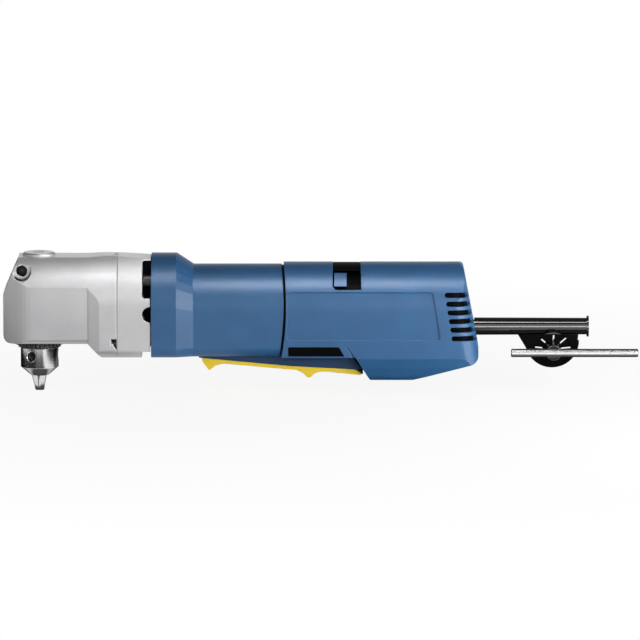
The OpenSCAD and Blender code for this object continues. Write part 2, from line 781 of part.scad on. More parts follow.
module motor_housing() {
  spigot_x1 = seam_x + 12;
  color("steelblue") difference() {
    union() {
      housing_form(0);
      intersection() {
        xprism(grip_x, seam_x + 20) grip_section(0);
        yprism(-big / 2, big / 2) seam_edge(0);
      }
      xprism(seam_x - 6, spigot_x1) grip_section(grip_wall);
      intersection() {
        xprism(spigot_x1 - 4, spigot_x1) grip_section(grip_wall - 1);
        box(seam_x, rear_x, -big / 2, big / 2, 0, big / 2);
      }
    }
    difference() {
      union() {
        xprism(collar_x - 1, slope_x - 2) collar_section(grip_wall);
        hull() {
          xprism(slope_x - 2.5, slope_x - 2) collar_section(grip_wall, $fn = 32);
          xprism(grip_x - 2, grip_x) grip_section(grip_wall, $fn = 32);
        }
        xprism(grip_x - 1, seam_x - 5) grip_section(grip_wall);
        xprism(seam_x - 6, spigot_x1 + 1) grip_section(grip_wall + 2.5);
      }
      // bosses for the long screws
      for (p = low_screw_spots) xcyl(collar_x - 1, collar_x + 13, screw_post_r + 1, p[0], p[1]);
      xcyl(collar_x - 1, collar_x + 13, screw_post_r, 0, top_screw_z);
      // seat ring of the field core, behind the fan
      intersection() {
        xprism(stack_x - 6, stack_x + 1) collar_section(1);
        xring(stack_x - 6, stack_x - 0.3, 40, fan_r - 2);
      }
      // spider that carries the rear bearing
      xring(rear_bearing_x - 1.5, rear_bearing_x + 7.5, 13, 9.5 + run_gap);
      for (a = [45:90:315]) rotate([a, 0, 0])
        box(rear_bearing_x - 1.5, rear_bearing_x + 7.5, -2, 2, 12, 40);
      // ears for the lever pin
      pin_ears();
    }
    xcyl(rear_bearing_x, rear_bearing_x + 8, 9.5 + run_gap);
    xcyl(rear_bearing_x - 3, rear_bearing_x + 8, 7);
    for (p = low_screw_spots) xcyl(collar_x - 1, collar_x + 11, 2 + run_gap, p[0], p[1]);
    xcyl(collar_x - 1, collar_x + 11, 1.5 + run_gap, 0, top_screw_z);
    // slot for the lever
    difference() {
      union() {
        box(slot_start_x, seam_x + 30, -lever_w / 2 - lever_gap, lever_w / 2 + lever_gap,
          -body_drop - 1, -body_drop + grip_wall + 1.5);
        box(seam_x - 8, seam_x + 30, -lever_w / 2 - lever_gap, lever_w / 2 + lever_gap,
          -body_drop - 1, -body_drop + 8.5);
      }
      pin_ears();
    }
    both_sides() ycyl(-lever_w / 2, 0, lever_pin_r + run_gap, lever_pin_x, lever_pin_z);
  }
}

// Coil spring about Z from z = 0 to the given height: one wire of six sides
module coil_spring(r, wire, height, turns) {
  per_turn = 8;
  sides = 6;
  rise = (height - 2 * wire) / turns;
  last = turns * per_turn;
  slope = atan(rise / (2 * PI * r));
  points = [for (i = [0:last], k = [0:sides - 1])
    let (
      a = i * 360 / per_turn,
      b = k * 360 / sides,
      out = [cos(a), sin(a), 0],
      up = [sin(a) * sin(slope), -cos(a) * sin(slope), cos(slope)]
    )
    r * out + [0, 0, wire + rise * i / per_turn] + wire * (cos(b) * out + sin(b) * up)];
  walls = [for (i = [0:last - 1], k = [0:sides - 1], half = [0, 1])
    let (j = (k + 1) % sides, p = i * sides, q = (i + 1) * sides)
    half == 0 ? [p + k, q + k, q + j] : [p + k, q + j, p + j]];
  ends = [for (k = [1:sides - 2], side = [0, 1])
    side == 0 ? [0, k, k + 1] : [last * sides, last * sides + k + 1, last * sides + k]];
  echo(str("Least gap between turns: ", rise * cos(slope) - 2 * wire));
  polyhedron(points, concat(walls, ends));
}

// Motor

module sector(r0, r1, half) {
  difference() {
    intersection() {
      circle(r = r1);
      polygon([[0, 0], [2 * r1, -2 * r1 * tan(half)], [2 * r1, 2 * r1 * tan(half)]]);
    }
    circle(r = r0);
  }
}

pole_half = 34;
neck_half = 22;
coil_gap = 0.3;

module field_core() {
  color("dimgray") xprism(stack_x, stack_x + stack_len) {
    difference() {
      circle(r = field_r);
      circle(r = field_r - 5);
    }
    for (a = [90, 270]) rotate([0, 0, a]) {
      sector(field_bore_r, field_r - 2, neck_half);
      sector(field_bore_r, field_bore_r + 1.4, pole_half + 18);
    }
  }
}

module field_coils() {
  end = 5;
  inner = field_bore_r + 1.4 + coil_gap;
  outer = field_r - 5 - coil_gap;
  color("sienna") for (a = [90, 270]) difference() {
    xprism(stack_x - end, stack_x + stack_len + end) rotate([0, 0, a])
      sector(inner, outer, pole_half + 17);
    xprism(stack_x - coil_gap, stack_x + stack_len + coil_gap) rotate([0, 0, a])
      sector(1, field_r, neck_half + 1.5);
  }
}

module armature_shaft() {
  color("lightgray") {
    turned_x([[motor_bearing_x - 4, 4.6], [motor_bearing_x, shaft_r], [rear_bearing_x - 1, 3.5],
      [rear_bearing_x + 6.5, 0]]);
    // motor pinion cut on the shaft's front end
    translate([gear_x0 - 0.5, 0, 0]) rotate([90, 0, 90])
      linear_extrude(height = motor_bearing_x - gear_x0 - 3) rotate([0, 0, 90])
        polygon(gear_outline(motor_teeth, spur_module, spur_shift, tooth_play, 0.85));
  }
}

armature_slots = 11;
armature_r = field_bore_r - air_gap;

module armature_section(slot_w) {
  difference() {
    circle(r = armature_r);
    for (i = [0:armature_slots - 1]) rotate([0, 0, (i + 0.5) * 360 / armature_slots]) {
      translate([10.8, 0]) circle(r = slot_w);
      translate([10.8, -0.8]) square([8, 1.6]);
    }
  }
}

module armature_core() {
  color("gray") difference() {
    xprism(stack_x, stack_x + stack_len) armature_section(2.6);
    xcyl(stack_x - 1, stack_x + stack_len + 1, shaft_r + eps);
  }
}

module armature_windings() {
  end = 5.5;
  color("chocolate") {
    for (i = [0:armature_slots - 1]) rotate([(i + 0.5) * 360 / armature_slots, 0, 0])
      xcyl(stack_x - 1, stack_x + stack_len + 1, 2.3, 10.8, 0);
    for (x = [stack_x - end - 0.3, stack_x + stack_len + 0.3]) translate([x, 0, 0])
      rotate([0, 90, 0]) rotate_extrude()
        polygon([[shaft_r + eps, 0], [11, 0], [13.4, 1.4], [13.6, end - 1.2], [12.6, end],
          [shaft_r + eps, end]]);
  }
}

module commutator() {
  color("peru") difference() {
    union() {
      xcyl(commutator_x, commutator_x + commutator_len, commutator_r);
      xcyl(commutator_x - 1.5, commutator_x + eps, commutator_r + 1);
    }
    xcyl(commutator_x - 2, commutator_x + commutator_len + 1, shaft_r + eps);
    for (a = [0:15:345]) rotate([a, 0, 0])
      box(commutator_x - 2, commutator_x + commutator_len + 1, -0.25, 0.25, commutator_r - 1, 20);
  }
}

module motor_front_bearing() {
  xbearing(motor_bearing_x, 0, shaft_r + run_gap, motor_bearing_r, motor_bearing_h);
}

module motor_rear_bearing() {
  xbearing(rear_bearing_x, 0, 3.5 + run_gap, 9.5, 6);
}

module cooling_fan() {
  blade_r0 = 13;
  color("black") difference() {
    union() {
      xcyl(fan_x + 9, fan_x + 10.6, fan_r);
      xcyl(fan_x, fan_x + 13, 8);
      intersection() {
        for (i = [0:fan_blades - 1]) rotate([i * 360 / fan_blades, 0, 0])
          translate([0, 3, blade_r0]) rotate([-24, 0, 0])
            box(fan_x + 0.5, fan_x + 9.5, -0.7, 0.7, 0, fan_r - blade_r0 + 6);
        xcyl(fan_x, fan_x + 10, fan_r);
      }
    }
    xcyl(fan_x - 1, fan_x + 14, shaft_r + eps);
  }
}

holder_r0 = commutator_r + 1.2;
holder_r1 = grip_r - grip_wall - seat_gap;

module brush_holders() {
  color("goldenrod") both_sides() difference() {
    intersection() {
      box(commutator_x + 1, commutator_x + 11, holder_r0, 40, -brush_h / 2 - 1.2, brush_h / 2 + 1.2);
      xcyl(commutator_x, commutator_x + 12, holder_r1);
    }
    box(commutator_x + 6 - brush_w / 2 - 0.1, commutator_x + 6 + brush_w / 2 + 0.1,
      0, holder_r1 - 1.4, -brush_h / 2 - 0.1, brush_h / 2 + 0.1);
  }
}

module carbon_brushes() {
  color("black") both_sides() difference() {
    box(commutator_x + 6 - brush_w / 2, commutator_x + 6 + brush_w / 2,
      0, holder_r0 + 8, -brush_h / 2, brush_h / 2);
    xcyl(commutator_x - 1, commutator_x + 14, commutator_r + run_gap);
  }
}

module brush_springs() {
  color("silver") both_sides()
    translate([commutator_x + 6, -holder_r0 - 8.1, 0]) rotate([90, 0, 0])
      coil_spring(2, 0.35, holder_r1 - holder_r0 - 9.6, 4);
}

// Rear shells

rear_lean = atan(10.4 / 56);

// Side view of both rear shells, without the seam's curve
module rear_side(inset) {
  offset(delta = -inset) intersection() {
    round_corners(5.5)
      polygon([[0, shell_r], [rear_x - 10.4 - (shell_r - 27) * tan(rear_lean), shell_r],
        [rear_x, -27.5], [rear_x, -36.8], [rear_x - 4, -39.9], [rear_x - 49, -belly_drop],
        [0, -belly_drop]]);
    round_corners(1.5)
      polygon([[seam_x - 8, big], [big, big], [big, -belly_drop], [slot_end_x + 0.6, -belly_drop],
        [slot_end_x - 10.2, -body_drop], [seam_x - 8, -body_drop]]);
  }
}

// Section of both rear shells
module rear_section(inset) {
  r = shell_r - inset;
  circle(r = r);
  round_corners(2) polygon([[r, 2], [r, -body_drop - 1], [r - 1.6, -body_drop - 8],
    [r - 4.5, -belly_drop + 3], [r - 8, -belly_drop + inset], [-r + 8, -belly_drop + inset],
    [-r + 4.5, -belly_drop + 3], [-r + 1.6, -body_drop - 8], [-r, -body_drop - 1], [-r, 2]]);
}

module rear_form(inset) {
  intersection() {
    xprism(seam_x - 4, rear_x + 2) rear_section(inset);
    yprism(-big / 2, big / 2) rear_side(inset);
    // rounded rear corners, seen from above and leaning with the rear wall
    translate([rear_x, 0, -27.5]) rotate([0, -rear_lean, 0]) translate([0, 0, -60])
      linear_extrude(height = 200) translate([-200 - inset, 0]) round_corners(13 - inset)
        translate([0, -shell_r + inset]) square([200, 2 * (shell_r - inset)]);
  }
}

module panel_outline() {
  round_corners(2.6)
    polygon([[seam_x + 5.4, -21.4], [seam_x + 5.4, 13.8], [290.6, 13.8], [296.4, -21.4]]);
}

module shell_bosses(grow) {
  for (p = boss_spots) ycyl(-shell_r, shell_r, 4.2 - grow, p[0], p[1]);
}

boss_spots = [[196, 21], [246, 21], [300, 19], [258, -belly_drop + 10.2], [306, -34]];

module rear_pair() {
  difference() {
    rear_form(0);
    difference() {
      rear_form(shell_wall);
      // seat for the motor housing's spigot
      intersection() {
        xring(seam_x + 4, seam_x + 7.5, 40, grip_r - grip_wall + seat_gap);
        box(seam_x, seam_x + 20, -40, 40, 4, 40);
      }
      shell_bosses(0);
      // cradles for the switch and the suppressor
      both_sides() {
        box(193, 196, 12.3, 40, -22, -4);
        box(221, 224, 12.3, 40, -22, -4);
        box(256, 259, 0, 40, -14.5, -8.2);
        box(268, 271, 0, 40, -14.5, -8.2);
      }
      // pad under the cord clamp
      box(298, 314, -16, 16, -belly_drop, sleeve_z - cord_r - 1);
      // flank walls beside the slider guide
      xprism(window_x0 - 2.6, window_x0 - 0.6) difference() {
        circle(r = shell_r - 1);
        circle(r = guide_r - 3);
        translate([-60, -60]) square([120, 60 + window_low_z - 4]);
      }
    }
    // front edge that follows the curved seam
    yprism(-big / 2, big / 2) seam_edge(seam_gap);
    // slot for the lever, open to the gap in front of the belly
    box(seam_x - 10, slot_end_x - 10, -lever_w / 2 - lever_gap, lever_w / 2 + lever_gap,
      -belly_drop - 1, -body_drop + shell_wall + 1);
    yprism(-lever_w / 2 - lever_gap, lever_w / 2 + lever_gap)
      polygon([[slot_end_x - 30, -body_drop + 5], [slot_end_x - 5, -body_drop + 5],
        [slot_end_x + 1.4, -belly_drop + 1.6], [slot_end_x + 1.4, -belly_drop - 5],
        [slot_end_x - 30, -belly_drop - 5]]);
    // window for the direction slider
    yprism(-big / 2, big / 2)
      polygon([[window_x0, window_low_z + 2], [window_x0 + 2.2, window_low_z],
        [window_x1, window_low_z], [window_x1 - 1.4, 60], [window_x0, 60]]);
    // sunk panels
    both_sides() difference() {
      yprism(-big / 2, -10) panel_outline();
      xprism(seam_x, rear_x) rear_section(panel_depth);
    }
    // air slots around the rear corners
    both_sides() for (i = [0:slot_count - 1]) yprism(-60, -sleeve_r - 4)
      translate([slot_x + slot_h / 2 + i * slot_step, 11.7 - i * slot_pitch]) {
        circle(r = slot_h / 2);
        translate([0, -slot_h / 2]) square([60, slot_h]);
      }
    xcyl(rear_x - 30, rear_x + 10, sleeve_r - 1.4 + seat_gap, 0, sleeve_z);
    xcyl(rear_x - 7.3, rear_x - 3.7, sleeve_r + 2 + seat_gap, 0, sleeve_z);
    xcyl(rear_x - 3, rear_x + 10, sleeve_r + seat_gap, 0, sleeve_z);
    // creases that lead up from the front of the belly
    both_sides() yprism(-big / 2, -shell_r + 0.9)
      polygon([[slot_end_x - 10.2, -body_drop - 1], [slot_end_x - 12.6, -body_drop - 1],
        [slot_end_x - 16.4, -26.6], [slot_end_x - 15.9, -26.6]]);
    // tapped and cleared holes of the joining screws
    for (p = boss_spots) {
      ycyl(-14, 40, 1.55, p[0], p[1]);
      ycyl(0.1, 40, 2, p[0], p[1]);
      ycyl(screw_head_y, 40, 3.4, p[0], p[1]);
    }
    for (s = [-1, 1]) zcyl(clamp_tip_z - 2, 0, 1.55, clamp_x, s * clamp_screw_y);
  }
}

screw_head_y = 20;
slot_x = 299.2;
slot_step = 1.04;

module rear_shell_left() {
  color("steelblue") intersection() {
    rear_pair();
    box(seam_x - 20, rear_x + 20, -60, 0, -80, 60);
  }
}

module rear_shell_right() {
  color("steelblue") intersection() {
    rear_pair();
    box(seam_x - 20, rear_x + 20, 0, 60, -80, 60);
  }
}

module shell_screws() {
  color("dimgray") for (p = boss_spots) difference() {
    union() {
      ycyl(screw_head_y, screw_head_y + 2.4, 3.1, p[0], p[1]);
      ycyl(-12, screw_head_y + 1, 1.5, p[0], p[1]);
    }
    box(p[0] - 2, p[0] + 2, screw_head_y + 1.2, screw_head_y + 5, p[1] - 0.4, p[1] + 0.4);
    box(p[0] - 0.4, p[0] + 0.4, screw_head_y + 1.2, screw_head_y + 5, p[1] - 2, p[1] + 2);
  }
}

// Direction slider in its window

module arch(x0, x1, r0, r1, low) {
  xprism(x0, x1) difference() {
    circle(r = r1);
    circle(r = r0);
    translate([-60, -60]) square([120, 60 + low]);
  }
}

rib_h = 0.4;
carrier_r = guide_r + rib_h + 0.4;
bridge_low_z = shell_r * 0.865;
pad_high_z = shell_r * 0.818;

module slider_guide() {
  color("black") {
    arch(window_x0 - 0.4, window_x1 + 3, guide_r - 2.4, guide_r, window_low_z - 3);
    for (x = [229.4:1.6:236.6]) arch(x, x + 0.8, guide_r - 1, guide_r + rib_h, window_low_z + 3);
    // bridge over the carrier, level with the top of the shells
    arch(window_x0 + 0.2, window_x1 - 1.6, carrier_r + 1, shell_r - 0.3, bridge_low_z);
    arch(window_x0 + 0.2, window_x0 + 1.2, guide_r - 1, shell_r - 0.3, bridge_low_z);
    arch(window_x1 - 2.8, window_x1 - 1.6, guide_r - 1, shell_r - 0.3, bridge_low_z);
  }
}

module slider_carrier() {
  color("black") {
    arch(slider_x + 0.6, slider_x + slider_w - 1.8, carrier_r, carrier_r + 0.6, shell_r * 0.615);
  }
}

module direction_slider() {
  color("steelblue") intersection() {
    arch(slider_x, slider_x + slider_w, carrier_r + 0.6, shell_r - 0.1, window_low_z + 2.4);
    both_sides() box(slider_x - 1, slider_x + slider_w + 1, shell_r / 2, 60, 0, pad_high_z);
  }
}

// Switch, plunger and the small electrical parts

switch_low_z = -24;

module switch_module() {
  color("black") difference() {
    union() {
      box(188, 226, -12, 12, switch_low_z, 4);
      box(192, 222, -10.5, 10.5, 3, 8);
      box(217, 223, -3, 3, 7, guide_r - 2.7);
    }
    for (x = [194:6:218]) box(x, x + 2, -13, -11, -20, 2);
    box(plunger_x - 3.2, plunger_x + 3.2, -4.2, 4.2, switch_low_z - 1, switch_low_z + 12);
  }
}

plunger_x = 205;
plunger_tip_z = -30.2;

module switch_plunger() {
  color("dimgray") {
    box(plunger_x - 3, plunger_x + 3, -4, 4, plunger_tip_z + 2, switch_low_z + 6);
    intersection() {
      ycyl(-4, 4, 3, plunger_x, plunger_tip_z + 3);
      box(plunger_x - 3, plunger_x + 3, -4, 4, plunger_tip_z - 1, plunger_tip_z + 3);
    }
  }
}

module suppressor() {
  color("gold") {
    xcyl(252, 275, 8, 0, 0);
    xcyl(250.5, 252, 6.5, 0, 0);
  }
}

clamp_x = 306;
clamp_screw_y = 10;
clamp_tip_z = sleeve_z - cord_r - 12.7;

module cord_clamp() {
  color("black") difference() {
    union() {
      box(clamp_x - 4, clamp_x + 4, -14, 14, sleeve_z - cord_r - 0.8, sleeve_z - cord_r + 3);
      xcyl(clamp_x - 4, clamp_x + 4, cord_r + 2.4, 0, sleeve_z);
    }
    xcyl(clamp_x - 5, clamp_x + 5, cord_r + 0.1, 0, sleeve_z);
    box(clamp_x - 5, clamp_x + 5, -20, 20, -60, sleeve_z - cord_r - 0.8);
    for (s = [-1, 1]) zcyl(-40, 0, 1.8, clamp_x, s * clamp_screw_y);
  }
}

module clamp_screws() {
  z = sleeve_z - cord_r + 3;
  color("dimgray") for (y = [-clamp_screw_y, clamp_screw_y]) difference() {
    union() {
      zcyl(z, z + 2.2, 3, clamp_x, y);
      zcyl(clamp_tip_z, z + 1, 1.5, clamp_x, y);
    }
    box(clamp_x - 2.2, clamp_x + 2.2, y - 0.4, y + 0.4, z + 1.2, z + 5);
  }
}

// Lever

// Underside line of the lever at a distance from the pin
lever_low = [[lever_pin_x - 0.5, -body_drop - 1.6], [lever_pin_x + 64.9, -body_drop - 7.6],
  [232.4, -44.6]];

module lever_side() {
  polygon([[lever_pin_x - 2.8, lever_pin_z + 1.5], [lever_pin_x - 1.5, lever_pin_z + 2.8],
    [lever_pin_x + 3, lever_pin_z + 2.8], [lever_pin_x + 8, -body_drop + 2.6],
    [231, -body_drop + 2.6], [232.6, -body_drop - 2], [237.6, -44.2], [234.6, -45.1],
    lever_low[2], lever_low[1], lever_low[0],
    [lever_pin_x - 2.8, -body_drop - 1.2]]);
}

module switch_lever() {
  half = lever_w / 2;
  color([0.16, 0.28, 0.42]) difference() {
    yprism(-half, half) lever_side();
    difference() {
      yprism(-half + lever_wall, half - lever_wall) offset(delta = -0.02) polygon([
        [lever_pin_x - 8, -body_drop + 12], [lever_pin_x - 8, -body_drop - 0.2],
        lever_low[0] + [0, 1.4], lever_low[1] + [0, 2.6], lever_low[2] + [-2, 2.6],
        [224, -body_drop + 12]]);
      // rib that meets the switch plunger
      box(plunger_x - 1.4, plunger_x + 1.4, -half, half, -60, plunger_tip_z - 0.05);
      for (x = [150, 175]) box(x, x + 1.6, -half, half, -60, -body_drop + 1);
    }
    ycyl(-half - 1, half + 1, lever_pin_r + run_gap, lever_pin_x, lever_pin_z);
  }
}

module pad_side() {
  a = lever_low[0];
  b = lever_low[1];
  c = lever_low[2];
  polygon([a + [0, -0.02], [a[0] + 0.3, a[1] - 2.4], [a[0] + 5, a[1] - 8.8], [a[0] + 6.4, a[1] - 8.6],
    [a[0] + 10, a[1] - 5.6], [a[0] + 16.5, a[1] - 4.2], b + [0, -2.6], [190.3, -43.9 - 1.1],
    [194.8, -47.2], [198.4, -50.6], [200.6, -50.6], [203.4, -47.8], [207.3, -46.3],
    [213.4, -46.4], [237, -48.8], [lever_end_x, -48.2], c + [2.2, -0.6], c + [0, -0.02],
    b + [0, -0.02]]);
}

module lever_pad() {
  half = lever_w / 2;
  color("gold") difference() {
    yprism(-half, half) pad_side();
    // rounded corners at the rear end, seen from below
    both_sides() difference() {
      box(lever_end_x - 4, lever_end_x + 4, half - 4, half + 4, -60, -30);
      zcyl(-60, -30, 4, lever_end_x - 4, half - 4);
    }
  }
}

module lever_pin() {
  color("lightgray") both_sides()
    ycyl(-lever_w / 2 + 0.1, -lever_w / 2 + lever_wall + 4.2, lever_pin_r, lever_pin_x, lever_pin_z);
}

spring_x = 195;
spring_low_z = -39.6;

// Return spring between the lever's floor and the switch
module lever_spring() {
  color("silver") translate([spring_x, 0, spring_low_z])
    coil_spring(4, 0.5, switch_low_z - 0.1 - spring_low_z, 4);
}

// Cord sleeve with the key holder

module sleeve_profile() {
  polygon([[cord_r, -8.5], [sleeve_r - 1.4, -8.5], [sleeve_r - 1.4, -7],
    [sleeve_r + 2, -7], [sleeve_r + 2, -4], [sleeve_r - 1.4, -4], [sleeve_r - 1.4, -2.6],
    [sleeve_r, -2.6], [sleeve_r - 0.3, sleeve_len - 1.6], [sleeve_r + 1.3, sleeve_len - 1.4],
    [sleeve_r + 1.3, sleeve_len], [cord_r, sleeve_len]]);
}

// Slits that let the web give way round the key: direction, inner and outer end
web_slits = [[5, 5.6, 13], [40, 5.6, 12.6], [87, 5.6, 10.4], [140, 5.6, 11.4], [174, 8, 13.4],
  [266, 6.2, 8.6]];

module web_outline() {
  top = sleeve_z;
  difference() {
    union() {
      polygon([[352.4, top], [353.7, top - sleeve_r + 1], [361.2, -33.5], [379.3, -30],
        [397.7, -33.5], [398.8, top - sleeve_r + 1], [398.8, top]]);
      intersection() {
        translate([379.3, -26.2]) circle(r = 20);
        translate([340, -60]) square([80, 60 - 26.2]);
      }
    }
    for (slit = web_slits) translate([key_x, key_z]) rotate([0, 0, slit[0]])
      translate([slit[1], -0.55]) square([slit[2] - slit[1], 1.1]);
  }
}

module cord_sleeve() {
  color([0.1, 0.1, 0.1]) difference() {
    union() {
      translate([rear_x, 0, sleeve_z]) rotate([0, 90, 0]) rotate_extrude() sleeve_profile();
      yprism(-web_t / 2, web_t / 2) web_outline();
    }
    xcyl(rear_x - 12, sleeve_end_x + 5, cord_r, 0, sleeve_z);
    // thin diaphragm around the key
    both_sides() ycyl(-10, -web_t / 2 + 1.2, 13, key_x, key_z);
    ycyl(-10, 10, shank_r + run_gap, key_x, key_z);
  }
}

module chuck_key() {
  color("lightgray") difference() {
    union() {
      ycyl(bar_y - bar_r / 2, -web_t / 2 - 1, hub_r, key_x, key_z);
      ycyl(-web_t / 2 - 1.5, web_t / 2 + 1.5, shank_r, key_x, key_z);
      translate([key_x, web_t / 2 + 0.5, key_z]) rotate([-90, 0, 0])
        cylinder(r1 = 5, r2 = 6.6, h = 4.5);
      translate([key_x, web_t / 2 + 5, key_z]) rotate([-90, 0, 0])
        cylinder(r1 = 6.6, r2 = 6, h = 1);
      ycyl(web_t / 2 + 5, web_t / 2 + 14.5, 3, key_x, key_z);
    }
    for (a = [0:360 / 11:359]) translate([key_x, 0, key_z]) rotate([0, a, 0])
      translate([0, web_t / 2 + 0.8, 5.6]) rotate([-90, 0, 0]) rotate([0, 0, 0])
        linear_extrude(height = 7) polygon([[-0.3, 0.6], [0.3, 0.6], [0.9, -2.6], [-0.9, -2.6]]);
    xcyl(key_x - 12, key_x + 12, bar_r + run_gap, bar_y, key_z);
  }
}

module tommy_bar() {
  color("lightgray") translate([bar_left_x, bar_y, key_z]) rotate([0, 90, 0]) rotate_extrude()
    polygon([[0, 0], [bar_r - 0.5, 0], [bar_r, 0.8], [bar_r, bar_len - 0.8],
      [bar_r - 0.5, bar_len], [0, bar_len]]);
}

gear_head();
bearing_cap();
spindle();
spindle_lower_bearing();
spindle_upper_bearing();
bearing_retainer();
crown_gear();
intermediate_shaft();
intermediate_gear();
intermediate_front_bearing();
intermediate_rear_bearing();
bearing_flange();
head_screws();
flange_screws();
top_flange_screw();
chuck_body();
chuck_ring();
chuck_nut();
jaw_1();
jaw_2();
jaw_3();
motor_housing();
field_core();
field_coils();
armature_shaft();
armature_core();
armature_windings();
commutator();
motor_front_bearing();
motor_rear_bearing();
cooling_fan();
brush_holders();
carbon_brushes();
brush_springs();
rear_shell_left();
rear_shell_right();
shell_screws();
slider_guide();
direction_slider();
slider_carrier();
switch_module();
switch_plunger();
switch_lever();
lever_pad();
lever_pin();
lever_spring();
suppressor();
cord_clamp();
clamp_screws();
cord_sleeve();
chuck_key();
tommy_bar();
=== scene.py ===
# %% [markdown]
# # Dressing a right angle drill
#
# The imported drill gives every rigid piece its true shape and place. This notebook adds what the
# eye judges it by: the finish of each metal and plastic, the softened edges, the few thin pieces
# that lie on the shells, and a studio to photograph it in. Everything is in metres, with the
# chuck's axis at x = 0, the motor's axis at z = 0, and the camera on the -y side.

# %% Load the frame
import json
import math

import bmesh
import bpy
from mathutils import Matrix, Vector


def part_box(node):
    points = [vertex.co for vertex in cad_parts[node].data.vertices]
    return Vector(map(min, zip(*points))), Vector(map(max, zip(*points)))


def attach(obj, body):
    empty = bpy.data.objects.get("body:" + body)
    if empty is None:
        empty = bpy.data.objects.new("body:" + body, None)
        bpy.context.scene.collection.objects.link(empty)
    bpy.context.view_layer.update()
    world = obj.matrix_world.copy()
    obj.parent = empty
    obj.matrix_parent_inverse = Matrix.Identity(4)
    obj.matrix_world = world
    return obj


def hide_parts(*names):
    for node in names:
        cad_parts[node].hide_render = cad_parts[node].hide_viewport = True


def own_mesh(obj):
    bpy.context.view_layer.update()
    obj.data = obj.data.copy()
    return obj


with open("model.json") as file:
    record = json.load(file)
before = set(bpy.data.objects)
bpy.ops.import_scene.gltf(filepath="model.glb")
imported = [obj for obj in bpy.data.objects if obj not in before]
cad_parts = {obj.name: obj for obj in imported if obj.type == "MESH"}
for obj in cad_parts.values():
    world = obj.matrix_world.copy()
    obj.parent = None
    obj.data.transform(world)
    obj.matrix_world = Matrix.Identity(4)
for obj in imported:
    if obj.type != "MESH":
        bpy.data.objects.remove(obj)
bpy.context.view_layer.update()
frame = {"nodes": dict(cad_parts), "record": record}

# %% [markdown]
# ## The camera
#
# The photograph looks straight at the drill's side from a little above. The gear head's domed top
# shows as a narrow strip over its side, which a lens 8.4 degrees above the level gives. The near
# and far edges of the head are the same size in it, so the lens is very long and far away: five
# metres here, which is as good as a parallel view.

# %% Camera
AIM = Vector((0.2076, 0.0, -0.011))
DISTANCE = 5.0
ELEVATION = math.radians(8.4)
LENS = 380.0

lens = bpy.data.cameras.new("portrait_lens")
lens.lens = LENS
lens.sensor_width = 36.0
camera = bpy.data.objects.new("portrait_camera", lens)
camera.location = AIM + DISTANCE * Vector((0.0, -math.cos(ELEVATION), math.sin(ELEVATION)))
camera.rotation_euler = (math.pi / 2 - ELEVATION, 0.0, 0.0)
bpy.context.scene.collection.objects.link(camera)
bpy.context.scene.camera = camera
print("camera at", [round(value, 4) for value in camera.location])

# %% [markdown]
# ## Writing shader maths as sums
#
# A finish is a tree of nodes, and most of it is arithmetic: a mask times a depth, one minus a
# mask. Wrapping a socket in a small class lets that arithmetic be written as Python sums, and
# each sum adds its Math node. One method adds any other node, so a finish reads top to bottom.

# %% Sums on sockets
class Figure:
    """One output of a node. A sum on it adds a Math node."""

    def __init__(self, tree, socket):
        self.tree = tree
        self.socket = socket

    def maths(self, operation, *terms, clamp=False):
        made = self.tree.nodes.new("ShaderNodeMath")
        made.operation = operation
        made.use_clamp = clamp
        for place, term in enumerate(terms):
            plug(self.tree, made.inputs[place], term)
        return Figure(self.tree, made.outputs[0])

    def __add__(self, other):
        return self.maths("ADD", self, other)

    def __radd__(self, other):
        return self.maths("ADD", other, self)

    def __sub__(self, other):
        return self.maths("SUBTRACT", self, other)

    def __rsub__(self, other):
        return self.maths("SUBTRACT", other, self)

    def __mul__(self, other):
        return self.maths("MULTIPLY", self, other)

    def __gt__(self, other):
        return self.maths("GREATER_THAN", self, other)

    def clamped(self):
        return self.maths("ADD", self, 0.0, clamp=True)

    def rises(self, start, slope):
        """0 up to start, then a straight climb to 1."""
        return ((self - start) * slope).clamped()

    def falls(self, end, slope):
        """1, then a straight drop that reaches 0 at end."""
        return ((end - self) * slope).clamped()


def plug(tree, socket, value):
    """Links a figure to a socket, or sets the socket to a plain value."""
    if isinstance(value, Figure):
        tree.links.new(value.socket, socket)
    else:
        socket.default_value = value


# %% [markdown]
# ## Making a finish
#
# Each finish starts from a Principled shader with its constants set. Its methods add the noises,
# ramps and masks that a recipe needs, and feed them to the shader's sockets.

